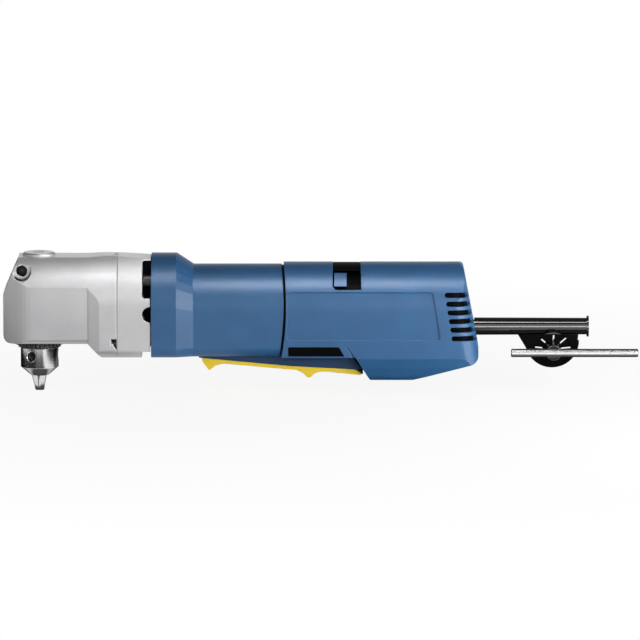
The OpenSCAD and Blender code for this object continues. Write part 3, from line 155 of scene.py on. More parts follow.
# %% A finish in the making
class Finish:
    """A material under construction, with its Principled shader ready."""

    def __init__(self, name, constants):
        self.material = bpy.data.materials.new(name)
        self.material.use_nodes = True
        self.tree = self.material.node_tree
        self.shader = self.tree.nodes["Principled BSDF"]
        for socket, value in constants.items():
            self.shader.inputs[socket].default_value = value

    def node(self, kind, settings, sockets, out=0):
        """Adds any node: its settings first, then its sockets' values or links."""
        made = self.tree.nodes.new("ShaderNode" + kind)
        for name, value in settings.items():
            if name == "stops":
                while len(made.color_ramp.elements) < len(value):
                    made.color_ramp.elements.new(0.5)
                for element, (place, grey) in zip(made.color_ramp.elements, value):
                    element.position = place
                    element.color = (grey, grey, grey, 1.0)
            else:
                setattr(made, name, value)
        for name, value in sockets.items():
            plug(self.tree, made.inputs[name], value)
        return Figure(self.tree, made.outputs[out])

    def place(self):
        return self.node("TexCoord", {}, {}, "Object")

    def noise(self, scale, detail=2.0, roughness=0.5, stretch=(1.0, 1.0, 1.0)):
        """Noise of so many features a metre, stretched along the object's axes."""
        spot = self.node("Mapping", {}, {"Vector": self.place(), "Scale": stretch})
        sockets = {"Vector": spot, "Scale": scale, "Detail": detail, "Roughness": roughness}
        return self.node("TexNoise", {}, sockets)

    def ramp(self, value, low, high):
        """0 below low, 1 above high, and a straight slope between."""
        return self.node("ValToRGB", {"stops": [(low, 0.0), (high, 1.0)]}, {"Fac": value})

    def mix(self, mask, first, second):
        """A colour between two, by a mask."""
        return self.node("Mix", {"data_type": "RGBA"}, {0: mask, 6: first, 7: second}, 2)

    # Painted highlight: this edge mask lightens sharp edges in every finish that uses it.
    def edge_highlight(self, radius):
        """A mask that is 1 on sharp outer edges and 0 elsewhere."""
        soft = self.node("Bevel", {"samples": 6}, {"Radius": radius})
        true = self.node("NewGeometry", {}, {}, "Normal")
        facing = self.node("VectorMath", {"operation": "DOT_PRODUCT"}, {0: soft, 1: true}, "Value")
        return ((1.0 - facing) * 4.0).clamped()

    def surface(self, height, depth, edge):
        """Bumps of a height figure and a depth in metres, over edges rounded by so much."""
        soft = self.node("Bevel", {"samples": 6}, {"Radius": edge})
        sockets = {"Height": height, "Distance": depth, "Normal": soft}
        bump = self.node("Bump", {}, sockets)
        plug(self.tree, self.shader.inputs["Normal"], bump)

    def feed(self, socket, value):
        plug(self.tree, self.shader.inputs[socket], value)


def shade(red, green, blue):
    """A colour from its 0 to 255 screen values."""
    def linear(value):
        value = value / 255
        return value / 12.92 if value <= 0.04045 else ((value + 0.055) / 1.055) ** 2.4
    return (linear(red), linear(green), linear(blue), 1.0)


# %% [markdown]
# ## Cast aluminium
#
# The gear head and flange are die castings, tumbled with ceramic stones until they are satin.
# Close up such a surface has a grain of tiny dents, and over a few centimetres the grey drifts
# a little. The dents are bumps of a fine noise, and the drift moves colour and roughness. Faces
# that look up are painted lighter, as painted light from above.

# %% Castings
PIT_GREY = shade(120, 121, 122)
PAINTED_EDGE_LIGHT = shade(238, 239, 240)
PAINTED_TOP_LIGHT = shade(246, 246, 246)


def cast_metal(name, light, dark, rough):
    finish = Finish(name, {"Metallic": 1.0})
    drift = finish.noise(38.0, detail=3.0)
    grain = finish.noise(2600.0, detail=3.0, roughness=0.65)
    pits = finish.ramp(finish.noise(900.0, detail=2.0), 0.62, 0.78)
    tone = finish.mix(finish.ramp(drift, 0.3, 0.7), dark, light)
    tone = finish.mix(pits * 0.25, tone, PIT_GREY)
    # Painted highlight: sharp edges are mixed towards a pale grey.
    tone = finish.mix(finish.edge_highlight(0.0006) * 0.5, tone, PAINTED_EDGE_LIGHT)
    normal = finish.node("NewGeometry", {}, {}, "Normal")
    facing_up = finish.node("SeparateXYZ", {}, {0: normal}, "Z")
    # Painted light from above: faces that look up are mixed towards a lighter grey.
    tone = finish.mix(facing_up.rises(0.70, 3.0), tone, PAINTED_TOP_LIGHT)
    finish.feed("Base Color", tone)
    finish.feed("Roughness", rough + drift * 0.10 + grain * 0.08)
    finish.surface(grain * 0.7 + drift * 0.3 - pits * 0.5, 0.00006, 0.0009)
    return finish.material


FINISHES = {
    "cast_aluminium": cast_metal(
        "tumbled_casting", shade(196, 196, 197), shade(186, 186, 188), 0.42),
    "flange_aluminium": cast_metal(
        "bright_casting", shade(194, 194, 194), shade(186, 186, 187), 0.50),
}
print("castings:", list(FINISHES))

# %% [markdown]
# ## Moulded plastic
#
# The housings are glass-filled nylon from a spark-eroded mould. It leaves an even, very fine
# grain that breaks up the gloss, with a faint cloudiness in the colour. Corners are painted a
# little lighter, as a painted edge highlight. The same recipe makes the blue, the dark blue, the
# yellow, the black, the brushes' graphite and the suppressor's dipped film.

# %% Plastics
def moulded(name, colour, rough, cloud=0.06, edge_light=0.35, gloss=0.3):
    finish = Finish(name, {"IOR": 1.5, "Specular IOR Level": gloss})
    cloudy = finish.noise(55.0, detail=4.0)
    grain = finish.noise(3400.0, detail=2.0, roughness=0.6)
    pale = tuple(min(1.0, value * 1.5 + 0.02) for value in colour[:3]) + (1.0,)
    deep = tuple(value * (1.0 - cloud * 2.0) for value in colour[:3]) + (1.0,)
    tone = finish.mix(finish.ramp(cloudy, 0.3, 0.7), deep, colour)
    # Painted highlight: sharp edges are mixed towards a paler colour.
    tone = finish.mix(finish.edge_highlight(0.0005) * edge_light, tone, pale)
    finish.feed("Base Color", tone)
    finish.feed("Roughness", rough + cloudy * 0.06 + grain * 0.10)
    finish.surface(grain, 0.00004, 0.0006)
    return finish.material


FINISHES["blue_plastic"] = moulded("blue_nylon", shade(38, 91, 138), 0.30, gloss=0.55)
FINISHES["dark_blue_plastic"] = moulded("dark_blue_nylon", shade(26, 58, 94), 0.42)
FINISHES["yellow_plastic"] = moulded("yellow_grip", shade(236, 204, 52), 0.34, cloud=0.03)
FINISHES["black_plastic"] = moulded("black_nylon", shade(4, 4, 5), 0.42, edge_light=0.1, gloss=0.04)
FINISHES["carbon"] = moulded("graphite", shade(40, 40, 42), 0.5)
FINISHES["suppressor_film"] = moulded("dipped_film", shade(196, 150, 40), 0.25)
print("finishes so far:", len(FINISHES))

# %% [markdown]
# ## Sleeve rubber
#
# The cord sleeve and the web below it are one soft rubber moulding, dull and black. The round
# sleeve is polished by handling, which a clear coat shows as two long streaks of light. The web
# stays dull, so the coat ends at the sleeve's lower edge.

# %% Rubber
SLEEVE_LOW_Z = -0.0216


def sleeve_rubber():
    finish = Finish("sleeve_rubber", {"Specular IOR Level": 0.03, "Roughness": 0.4,
                                      "Coat Roughness": 0.08, "Coat IOR": 2.0})
    height = finish.node("SeparateXYZ", {}, {0: finish.place()}, "Z")
    smear = finish.noise(40.0, detail=3.0)
    tone = finish.mix(finish.ramp(smear, 0.3, 0.7), shade(4, 4, 4), shade(6, 6, 7))
    finish.feed("Base Color", tone)
    finish.feed("Coat Weight", height.rises(SLEEVE_LOW_Z, 3000.0) * (0.85 + smear * 0.15))
    finish.surface(smear, 0.00002, 0.0006)
    return finish.material


FINISHES["black_rubber"] = sleeve_rubber()
print("rubber:", FINISHES["black_rubber"].name)

# %% [markdown]
# ## Turned, drawn and blackened metals
#
# The chuck body is turned and then polished: fine rings round the axis, which stretch each
# highlight. The marks follow the work, so the noise is drawn out along two directions, and for
# the bar, which is drawn through a die, along one. The blackened ring has an oxide film.

# %% Steels
def turned_metal(name, colour, rough, lines, stretch, mark=0.10, edge=0.0003):
    finish = Finish(name, {"Metallic": 1.0})
    marks = finish.noise(lines, detail=3.0, roughness=0.7, stretch=stretch)
    smear = finish.noise(60.0, detail=3.0)
    deep = tuple(value * 0.72 for value in colour[:3]) + (1.0,)
    tone = finish.mix(finish.ramp(marks, 0.25, 0.75), deep, colour)
    # Painted highlight: sharp edges are mixed towards a near-white grey.
    tone = finish.mix(finish.edge_highlight(0.0004) * 0.6, tone, shade(245, 245, 246))
    finish.feed("Base Color", tone)
    finish.feed("Roughness", rough + marks * mark + smear * 0.08)
    finish.surface(marks, 0.000008, edge)
    return finish.material


UPRIGHT = (0.02, 0.02, 1.0)
ALONG = (1.0, 0.1, 0.1)
EVEN = (1.0, 1.0, 1.0)
for slot, name, colour, rough, lines, stretch, more in (
        ("bright_steel", "polished_steel", (214, 214, 216), 0.08, 2400.0, UPRIGHT, {}),
        ("turned_steel", "turned_steel", (190, 191, 193), 0.2, 1800.0, ALONG, {}),
        ("bearing_steel", "ground_steel", (200, 201, 203), 0.16, 1800.0, UPRIGHT, {}),
        ("dark_steel", "oxide_steel", (46, 45, 46), 0.26, 900.0, EVEN, {}),
        ("screw_steel", "screw_steel", (70, 70, 72), 0.28, 1500.0, EVEN, {}),
        ("lamination_steel", "stacked_sheet", (110, 112, 116), 0.4, 2000.0, (1.0, 0.03, 0.03),
         {"edge": 0.0001}),
        ("copper_winding", "enamelled_wire", (150, 78, 40), 0.3, 1400.0, (0.1, 1.0, 1.0), {}),
        ("commutator_copper", "copper_bars", (196, 120, 80), 0.25, 1800.0, ALONG, {}),
        ("brass", "drawn_brass", (200, 168, 92), 0.25, 1500.0, (1.0, 0.2, 0.2), {}),
        ("chuck_steel", "chuck_steel", (240, 240, 241), 0.05, 2400.0, UPRIGHT, {"mark": 0.05}),
        ("bar_steel", "drawn_bar", (204, 204, 206), 0.12, 1600.0, (0.02, 1.0, 1.0),
         {"mark": 0.05}),
):
    FINISHES[slot] = turned_metal(name, shade(*colour), rough, lines, stretch, **more)
print("finishes:", len(FINISHES))

# %% [markdown]
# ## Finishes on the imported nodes
#
# Each node takes the finish that the record names for it, except the chuck's body and jaws, the
# key and the key's bar, which have their own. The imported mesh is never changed: its corners are
# rounded only in the shader, by the Bevel node inside each finish.

# %% Dress the nodes
def dress(node, slot):
    piece = frame["nodes"][node]
    piece.data.materials.clear()
    piece.data.materials.append(FINISHES[slot])


for row in frame["record"]["subparts"]:
    dress(row["node"], row["material_slot"])
for node in ("chuck_body", "jaw_1", "jaw_2", "jaw_3"):
    dress(node, "chuck_steel")
dress("chuck_key", "dark_steel")
dress("tommy_bar", "bar_steel")

# %% [markdown]
# ## Pieces that the shells hide or carry
#
# A few thin things finish the drill. Most of them are dark pieces that stand for painted shade: a
# black band in the seam between the grip and the shells, black blocks at the ends of the slider's
# window, black sheets behind the air slots and the air outlets, dark ridged bushes in the side
# handle's threaded bores deep in the head, and dark discs at the floors of the chuck's key holes.
# A blank film plate lies on the shell. They could be painted on, but then the seam would look
# shallow from the side, so each is a real thin piece. One helper turns a bmesh into an object.
# The others draw lines, sweep them round and give them a wall.

# %% Helpers for new pieces
NO_SHIFT = (0.0, 0.0, 0.0)


def piece_from(flat, name, body, slot):
    bmesh.ops.remove_doubles(flat, verts=flat.verts, dist=1e-6)
    bmesh.ops.recalc_face_normals(flat, faces=flat.faces)
    mesh = bpy.data.meshes.new(name)
    flat.to_mesh(mesh)
    flat.free()
    made = bpy.data.objects.new(name, mesh)
    bpy.context.scene.collection.objects.link(made)
    mesh.materials.append(FINISHES[slot])
    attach(made, body)
    print("made", name, len(mesh.polygons), "faces")
    return made


def draw_out(flat, parts, shift):
    """Extrudes edges by a shift."""
    made = bmesh.ops.extrude_edge_only(flat, edges=parts)["geom"]
    far = [part for part in made if isinstance(part, bmesh.types.BMVert)]
    bmesh.ops.translate(flat, verts=far, vec=shift)


def trail(flat, vert, shift):
    """Draws a straight edge on from a vertex, and returns the new vertex."""
    made = bmesh.ops.extrude_vert_indiv(flat, verts=[vert])["verts"][0]
    made.co += Vector(shift)
    return made


def sweep(flat, vert, centre, axis, degrees, steps):
    """Draws an arc on from a vertex, and returns the last vertex."""
    made = bmesh.ops.spin(flat, geom=[vert], cent=centre, axis=axis, dvec=NO_SHIFT,
                          angle=math.radians(degrees), steps=steps, use_merge=False)
    return made["geom_last"][0]


def thicken(flat, wall):
    bmesh.ops.recalc_face_normals(flat, faces=flat.faces)
    bmesh.ops.solidify(flat, geom=flat.faces, thickness=wall)


# %% [markdown]
# ## The seam's shade band
#
# The grip ends in a spigot that the rear shells close on, with a gap of about two millimetres.
# A black band fills most of it, as painted shade in the gap. Its line goes up one side, over the
# top in a half circle and down the other. It is drawn out along the drill, bent to the seam's arc
# and given a wall.

# %% Seam shade band
SEAM_X = 0.1778
SEAM_BULGE = 0.0030
SEAM_ARC = 0.2175
SEAM_MIDDLE_Z = 0.004
SHADE_BAND_R = 0.0302
SHADE_BAND_LOW_Z = -0.0290
SHADE_BAND_LENGTH = 0.0015
SHADE_BAND_WALL = 0.0019
SHADE_BAND_SHIFT = 0.00015
ARC_STEPS = 48
STEPS = 8

flat = bmesh.new()
foot = (SEAM_X + SHADE_BAND_SHIFT, -SHADE_BAND_R, SHADE_BAND_LOW_Z)
corner = bmesh.ops.create_vert(flat, co=foot)["vert"][0]
for step in range(STEPS):
    corner = trail(flat, corner, (0.0, 0.0, -SHADE_BAND_LOW_Z / STEPS))
corner = sweep(flat, corner, (SEAM_X, 0.0, 0.0), (1.0, 0.0, 0.0), -180, ARC_STEPS)
for step in range(STEPS):
    corner = trail(flat, corner, (0.0, 0.0, SHADE_BAND_LOW_Z / STEPS))
draw_out(flat, list(flat.edges), (SHADE_BAND_LENGTH, 0.0, 0.0))
for vert in flat.verts:
    vert.co.x += SEAM_BULGE - (vert.co.z - SEAM_MIDDLE_Z) ** 2 / (2 * SEAM_ARC)
thicken(flat, SHADE_BAND_WALL)
piece_from(flat, "seam_shade_band", "housing", "black_plastic")

# %% [markdown]
# ## Shade at the window's ends
#
# The black bridge over the direction slider ends just short of the window's edges. A thin black
# block fills each end as painted shade, so that no light shows through: a small upright
# rectangle, turned to one flank and spun over the top.

# %% Window shades
WINDOW_SHADES = {"window_shade_front": (0.21702, 0.21718), "window_shade_rear": (0.23642, 0.23780)}
WINDOW_SHADE_INNER_R = 0.0298
WINDOW_SHADE_OUTER_R = 0.0321
WINDOW_SHADE_SIDE = math.radians(29)
WINDOW_SHADE_STEPS = 24

for name, (x0, x1) in WINDOW_SHADES.items():
    flat = bmesh.new()
    corners = [(x0, WINDOW_SHADE_INNER_R), (x1, WINDOW_SHADE_INNER_R), (x1, WINDOW_SHADE_OUTER_R), (x0, WINDOW_SHADE_OUTER_R)]
    verts = [bmesh.ops.create_vert(flat, co=(x, 0.0, z))["vert"][0] for x, z in corners]
    bmesh.ops.contextual_create(flat, geom=verts)
    bmesh.ops.rotate(flat, verts=flat.verts, cent=NO_SHIFT,
                     matrix=Matrix.Rotation(-WINDOW_SHADE_SIDE, 3, "X"))
    bmesh.ops.spin(flat, geom=list(flat.verts) + list(flat.edges) + list(flat.faces),
                   cent=NO_SHIFT, axis=(1.0, 0.0, 0.0), dvec=NO_SHIFT, angle=2 * WINDOW_SHADE_SIDE,
                   steps=WINDOW_SHADE_STEPS, use_merge=False)
    piece_from(flat, name, "housing", "black_plastic")

# %% [markdown]
# ## Black sheets behind the air slots
#
# Behind the air slots sits a black sheet, painted shade for the dark inside of the slots, that
# bends round the inside of each rear corner and leans with the rear wall. Its line runs back
# along the side, round the corner and across.

# %% Slot shades
REAR_LEAN = 0.191
SLOT_SHADE_START = (0.2975, 0.0255)
SLOT_SHADE_CORNER = (0.3112, 0.0150)
SLOT_SHADE_ACROSS = 0.0028
SLOT_SHADE_LOW_Z = -0.0268
SLOT_SHADE_HEIGHT = 0.0413
SLOT_SHADE_WALL = 0.0006
BEND_STEPS = 10

for side, name in ((-1.0, "slot_shade_right"), (1.0, "slot_shade_left")):
    flat = bmesh.new()
    foot = (SLOT_SHADE_START[0], side * SLOT_SHADE_START[1], SLOT_SHADE_LOW_Z)
    corner = bmesh.ops.create_vert(flat, co=foot)["vert"][0]
    corner = trail(flat, corner, (SLOT_SHADE_CORNER[0] - SLOT_SHADE_START[0], 0.0, 0.0))
    turn = (SLOT_SHADE_CORNER[0], side * SLOT_SHADE_CORNER[1], SLOT_SHADE_LOW_Z)
    corner = sweep(flat, corner, turn, (0.0, 0.0, 1.0), -90 * side, BEND_STEPS)
    trail(flat, corner, (0.0, -side * SLOT_SHADE_ACROSS, 0.0))
    draw_out(flat, list(flat.edges), (-REAR_LEAN * SLOT_SHADE_HEIGHT, 0.0, SLOT_SHADE_HEIGHT))
    thicken(flat, SLOT_SHADE_WALL)
    piece_from(flat, name, "housing", "black_plastic")

# %% [markdown]
# ## The air outlets' shade plates
#
# The fan blows out through the flange's windows. Behind each stands a black plate, painted
# shade that keeps the outlet dark. It is a plate with softly rounded edges.

# %% Outlet shades
OUTLET_SHADE_LOW = (0.0769, 0.0157, -0.0104)
OUTLET_SHADE_HIGH = (0.08325, 0.0163, 0.0355)
OUTLET_SHADE_EDGE = 0.0002

for side, name in ((-1.0, "outlet_shade_right"), (1.0, "outlet_shade_left")):
    flat = bmesh.new()
    bmesh.ops.create_cube(flat, size=1.0)
    near, far = sorted((side * OUTLET_SHADE_LOW[1], side * OUTLET_SHADE_HIGH[1]))
    low = Vector((OUTLET_SHADE_LOW[0], near, OUTLET_SHADE_LOW[2]))
    high = Vector((OUTLET_SHADE_HIGH[0], far, OUTLET_SHADE_HIGH[2]))
    bmesh.ops.scale(flat, verts=flat.verts, vec=high - low)
    bmesh.ops.translate(flat, verts=flat.verts, vec=(low + high) / 2)
    bmesh.ops.bevel(flat, geom=list(flat.edges), offset=OUTLET_SHADE_EDGE, segments=2, profile=0.5,
                    affect="EDGES", material=-1)
    piece_from(flat, name, "housing", "black_plastic")

# %% [markdown]
# ## The side handle's threads
#
# The side handle screws into a bush deep in the head, dark steel whose colour is painted shade
# for the deep bore. Its thread is cut as rings here, which nobody can tell from a helix in so
# short a hole: a zigzag line, closed round the back of the bush and spun about its axis.

# %% Thread bushes
HANDLE = (-0.012, 0.0286)
BUSH_MOUTH_Y = 0.0214
BUSH_R = 0.00418
RIDGES = 5
RIDGE_R = 0.00410
RIDGE_DEPTH = 0.0007
HALF_PITCH = 0.00078
BUSH_CONE = 0.0003
BUSH_BACK = 0.0002
BUSH_LENGTH = 2 * RIDGES * HALF_PITCH + BUSH_CONE + BUSH_BACK

for side, name in ((-1.0, "thread_bush_right"), (1.0, "thread_bush_left")):
    flat = bmesh.new()
    foot = (HANDLE[0] + RIDGE_R, side * BUSH_MOUTH_Y, HANDLE[1])
    lip = bmesh.ops.create_vert(flat, co=foot)["vert"][0]
    vert = lip
    for ridge in range(RIDGES):
        vert = trail(flat, vert, (-RIDGE_DEPTH, -side * HALF_PITCH, 0.0))
        vert = trail(flat, vert, (RIDGE_DEPTH, -side * HALF_PITCH, 0.0))
    vert = trail(flat, vert, (-RIDGE_R, -side * BUSH_CONE, 0.0))
    vert = trail(flat, vert, (BUSH_R, -side * BUSH_BACK, 0.0))
    vert = trail(flat, vert, (0.0, side * BUSH_LENGTH, 0.0))
    bmesh.ops.contextual_create(flat, geom=[vert, lip])
    bmesh.ops.spin(flat, geom=list(flat.verts) + list(flat.edges),
                   cent=(HANDLE[0], 0.0, HANDLE[1]), axis=(0.0, 1.0, 0.0), dvec=NO_SHIFT,
                   angle=math.tau, steps=40, use_merge=True)
    # Painted shade: the dark steel makes the deep bore look dark.
    piece_from(flat, name, "housing", "dark_steel")

# %% [markdown]
# ## The key holes' floors
#
# The chuck's three key holes each end on a plain dark disc with a centre mark, its darkness
# painted shade for the deep hole. The disc is turned to face outwards and then round the chuck to
# its hole.

# %% Key hole floors
KEY_HOLE_R = 0.00337
KEY_HOLE_Z = -0.0367
KEY_HOLE_DEPTH = 0.00918
KEY_HOLE_ANGLES = (245, 5, 125)
DISC_THICK = 0.0003
MARK_INSET = KEY_HOLE_R * 0.55
MARK_DEPTH = 0.0001

for number, degrees in enumerate(KEY_HOLE_ANGLES, start=1):
    flat = bmesh.new()
    bmesh.ops.create_cone(flat, cap_ends=True, segments=32, radius1=KEY_HOLE_R,
                          radius2=KEY_HOLE_R, depth=DISC_THICK)
    lid = max(flat.faces, key=lambda face: face.calc_center_median().z)
    bmesh.ops.inset_region(flat, faces=[lid], thickness=MARK_INSET, depth=-MARK_DEPTH)
    about = Matrix.Rotation(math.radians(degrees), 4, "Z")
    aim = about @ Matrix.Translation((KEY_HOLE_DEPTH, 0.0, KEY_HOLE_Z))
    bmesh.ops.transform(flat, matrix=aim @ Matrix.Rotation(math.pi / 2, 4, "Y"), verts=flat.verts)
    # Painted shade: the dark disc makes the key hole look deep and dark.
    piece_from(flat, "key_hole_floor_" + str(number), "spindle", "dark_steel")

# %% [markdown]
# ## The film plate
#
# Below the sunk panel a strip of dull black film lies on the shell, cut slanting at its rear end.
# It is left blank. A face with four corners is rounded at the corners, drawn out by a quarter of
# a millimetre and given a fine rounded rim.

# %% Film plate
PLATE_CORNERS = [(0.1842, -0.0334), (0.2257, -0.0334), (0.2215, -0.0265), (0.1842, -0.0265)]
PLATE_Y = -0.03248
PLATE_THICK = 0.00027
PLATE_CORNER_R = 0.0006
PLATE_RIM = 0.00012

flat = bmesh.new()
verts = [bmesh.ops.create_vert(flat, co=(x, PLATE_Y, z))["vert"][0] for x, z in PLATE_CORNERS]
bmesh.ops.contextual_create(flat, geom=verts)
bmesh.ops.bevel(flat, geom=verts, offset=PLATE_CORNER_R, segments=4, profile=0.5, affect="VERTICES",
                material=-1)
raised = bmesh.ops.extrude_face_region(flat, geom=list(flat.faces))["geom"]
front = [part for part in raised if isinstance(part, bmesh.types.BMVert)]
bmesh.ops.translate(flat, verts=front, vec=(0.0, -PLATE_THICK, 0.0))
rim = [edge for edge in flat.edges if all(vert in front for vert in edge.verts)]
bmesh.ops.bevel(flat, geom=rim, offset=PLATE_RIM, segments=2, profile=0.5, affect="EDGES",
                material=-1)
piece_from(flat, "film_plate", "housing", "black_plastic")

# %% [markdown]
# ## The lever's spring
#
# The imported coil is rigid, so a squeezed lever would cut through it. A coil of the same size takes
# its place: a small ring of wire spun round the spring's axis with a rise at each step.

# %% Lever spring
SPRING_WIRE_R = 0.0005
SPRING_TURNS = 4
SPRING_STEPS = 24 * SPRING_TURNS

low, high = (Vector(corner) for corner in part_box("lever_spring"))
coil_r = (high.x - low.x) / 2 - SPRING_WIRE_R
rise = high.z - low.z - 2 * SPRING_WIRE_R
axis = (low + high) / 2
flat = bmesh.new()
bmesh.ops.create_circle(flat, segments=10, radius=SPRING_WIRE_R)
place = Matrix.Translation((axis.x + coil_r, axis.y, low.z + SPRING_WIRE_R))
bmesh.ops.transform(flat, matrix=place @ Matrix.Rotation(math.pi / 2, 4, "X"), verts=flat.verts)
wire = bmesh.ops.contextual_create(flat, geom=list(flat.edges))["faces"]
bmesh.ops.spin(flat, geom=wire, cent=axis, axis=(0.0, 0.0, 1.0),
               dvec=(0.0, 0.0, rise / SPRING_STEPS), angle=math.tau * SPRING_TURNS,
               steps=SPRING_STEPS, use_merge=False)
spring = piece_from(flat, "lever_coil", "housing", "bearing_steel")
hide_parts("lever_spring")
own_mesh(spring)
print("coil of", SPRING_TURNS, "turns, radius", round(coil_r, 4))

# %% [markdown]
# ## The studio
#
# The photograph has a white ground and soft light from the front and above, with dark cards
# overhead and at the rear corners: polished steel shows them as black bands. The world is white
# to the lens. To reflections it is white at the horizon, a little dimmer in front and to the far
# left, and dark where a photographer would hang the cards. As a light it is plain grey.

# %% World
AMBIENT = 0.18
OVERHEAD_DARK = 0.92
CORNERS_DARK = 0.80
FRONT_TONE = 0.88

world = bpy.data.worlds.new("studio")
bpy.context.scene.world = world
world.use_nodes = True
air = world.node_tree
air.nodes.clear()
rays = air.nodes.new("ShaderNodeLightPath")
lens_rays = Figure(air, rays.outputs["Is Camera Ray"])
seen = lens_rays + Figure(air, rays.outputs["Is Transmission Ray"])
mirrored = Figure(air, rays.outputs["Is Glossy Ray"])
heading = air.nodes.new("ShaderNodeSeparateXYZ")
air.links.new(air.nodes.new("ShaderNodeTexCoord").outputs["Generated"], heading.inputs[0])
east, north, up = (Figure(air, heading.outputs[place]) for place in range(3))
overhead = up.rises(0.30, 3.0) * OVERHEAD_DARK
sideways = east.maths("ABSOLUTE", east)
corners = (sideways + north).rises(1.02, 4.0) * CORNERS_DARK
left = east.falls(-0.62, 0.5)
front = FRONT_TONE + (north > 0.0) * (1.0 - FRONT_TONE)
cards = (1.0 - overhead) * (1.0 - corners) * (1.0 - left) * front
ambient = air.nodes.new("ShaderNodeBackground")
ambient.inputs["Color"].default_value = (1.0, 1.0, 1.0, 1.0)
lit = AMBIENT + mirrored * (cards - AMBIENT)
plug(air, ambient.inputs["Strength"], lit + seen.clamped() * (1.0 - lit))
out = air.nodes.new("ShaderNodeOutputWorld")
air.links.new(ambient.outputs[0], out.inputs["Surface"])
print("world nodes:", len(air.nodes))

# %% [markdown]
# ## The floor
#
# The drill lies on a white sweep. Near the drill the floor is mostly white to the lens and partly
# lit card, so that it carries a faint soft shadow. Further out it is all white, and no edge or
# horizon shows behind the drill.

# %% Floor
FLOOR_Z = -0.0636
MIDDLE = (0.2, 0.0, FLOOR_Z)
HALF_WIDTH = 3.0
NEAR_WHITE = 0.90

flat = bmesh.new()
bmesh.ops.create_grid(flat, x_segments=1, y_segments=1, size=HALF_WIDTH)
bmesh.ops.translate(flat, verts=flat.verts, vec=MIDDLE)
mesh = bpy.data.meshes.new("floor")
flat.to_mesh(mesh)
flat.free()
floor = bpy.data.objects.new("floor", mesh)
bpy.context.scene.collection.objects.link(floor)
card = Finish("floor_card", {"Base Color": (0.8, 0.8, 0.8, 1.0), "Roughness": 0.9})


def distance_from(point):
    """How far a point of the floor is from this one, in metres."""
    sockets = {0: card.place(), 1: point}
    return card.node("VectorMath", {"operation": "DISTANCE"}, sockets, "Value")


lens_ray = card.node("LightPath", {}, {}, "Is Camera Ray")
white = NEAR_WHITE + distance_from(MIDDLE).rises(0.16, 2.2) * (1.0 - NEAR_WHITE)
print("floor at", FLOOR_Z)

# %% [markdown]
# ## The floor in reflections
#
# An upright surface seen from a little above mirrors the floor in front of it, so the floor's
# tone in reflections is laid out like a photographer's cards. It is dark just in front of the
# chuck, with a white card to the chuck's right and a white ring that lights the jaws. A white
# strip beside the sleeve gives it a streak. Further out in front, and past both ends, it is
# white. The strip behind the drill is dark.

# %% Mirrored floor
NEAR_TONE = 0.09
FAR_TONE = 0.84
DARKEN = 0.85

mirror_ray = card.node("LightPath", {}, {}, "Is Glossy Ray")
along = card.node("SeparateXYZ", {}, {0: card.place()}, "X")
across = card.node("SeparateXYZ", {}, {0: card.place()}, "Y")
from_chuck = distance_from((0.0, 0.0, FLOOR_Z))
chuck_card = along.rises(0.06, 60.0) * along.falls(0.155, 60.0)
jaw_ring = from_chuck.rises(0.010, 200.0) * from_chuck.falls(0.085, 60.0)
sleeve_strip = along.rises(0.30, 20.0) * across.rises(-0.14, 100.0) * across.falls(-0.04, 100.0)
behind = across.rises(-0.01, 30.0) * (1.0 - across.rises(0.2, 10.0))
beside = along.falls(-0.03, 30.0) + along.rises(0.16, 60.0) * along.falls(0.30, 20.0)
near = (NEAR_TONE + chuck_card * 0.91 + jaw_ring * 0.80 + sleeve_strip * 0.87).clamped()
near = near * (1.0 - behind * DARKEN) * (1.0 - beside * DARKEN)
far = FAR_TONE + along.falls(0.06, 12.0) * 0.14
in_front = across.falls(-0.20, 25.0)
past_ends = along.falls(-0.19, 25.0) + along.rises(0.46, 14.0)
floor_tone = near * (1.0 - in_front) + in_front * far
floor_tone = floor_tone * (1.0 - past_ends) + past_ends

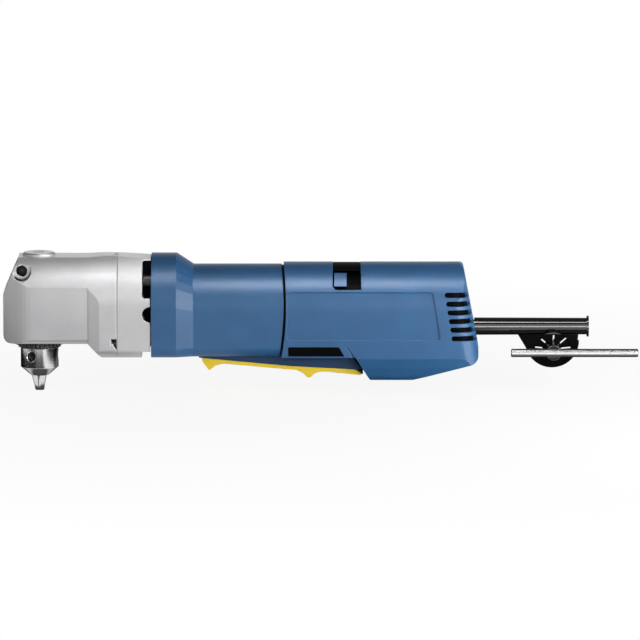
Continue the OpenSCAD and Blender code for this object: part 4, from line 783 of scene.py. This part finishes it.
shown = card.mix(mirror_ray * (1.0 - floor_tone), (1.0, 1.0, 1.0, 1.0), (0.0, 0.0, 0.0, 1.0))
glow = card.node("Emission", {}, {"Color": shown, "Strength": 1.0})
share = (lens_ray * white + mirror_ray).clamped()
lit_card = Figure(card.tree, card.shader.outputs[0])
blend = card.node("MixShader", {}, {0: share, 1: lit_card, 2: glow})
card.tree.links.new(blend.socket, card.tree.nodes["Material Output"].inputs["Surface"])
mesh.materials.append(card.material)
print("floor nodes:", len(card.tree.nodes))

# %% [markdown]
# ## The lamps
#
# A wide front light gives the plastic its colour. The key hangs over the drill and shows only in
# reflections: it draws the long highlight along the shells and leaves their tops dark. Two narrow
# strips do the same for the sleeve, and the side and edge lights lift the faces that look right.
# A back light, hidden from reflections, fills the far side.

# %% Lamps
def softbox(name, place, aim, size, watts, spread=180, diffuse=True, glossy=True):
    data = bpy.data.lights.new(name, "AREA")
    data.shape = "RECTANGLE"
    data.size, data.size_y = size
    data.energy = watts
    data.spread = math.radians(spread)
    lamp = bpy.data.objects.new(name, data)
    lamp.location = place
    lamp.visible_diffuse = diffuse
    lamp.visible_glossy = glossy
    lamp.rotation_euler = (Vector(aim) - Vector(place)).to_track_quat("-Z", "Y").to_euler()
    bpy.context.scene.collection.objects.link(lamp)
    print("softbox", name, watts, "W")


SLEEVE = (0.40, 0.0, -0.02)
softbox("back", (0.20, 1.4, 0.35), (0.20, 0.0, 0.0), (2.0, 0.8), 6.0, glossy=False)
softbox("key", (0.205, -0.20, 0.41), (0.205, 0.0, 0.0), (0.25, 0.14), 1.75, diffuse=False)
softbox("front", (0.1, -1.5, 0.20), (0.2, 0.0, 0.0), (2.6, 1.4), 5.8)
softbox("strip", (0.42, -0.60, 1.02), SLEEVE, (0.20, 0.22), 0.005, spread=10, diffuse=False)
softbox("low_strip", (0.42, -0.50, -0.033), SLEEVE, (0.20, 0.05), 0.0011, spread=10,
        diffuse=False)
softbox("side", (0.80, -0.97, 0.10), (0.1, 0.0, 0.0), (0.40, 0.60), 6.0)
softbox("edge", (0.62, -0.28, 0.12), (0.0, 0.0, -0.03), (0.30, 0.36), 1.7)

# %% [markdown]
# ## The view
#
# The render's colours go through the Standard view transform.

# %% View transform
bpy.context.scene.view_settings.view_transform = "Standard"
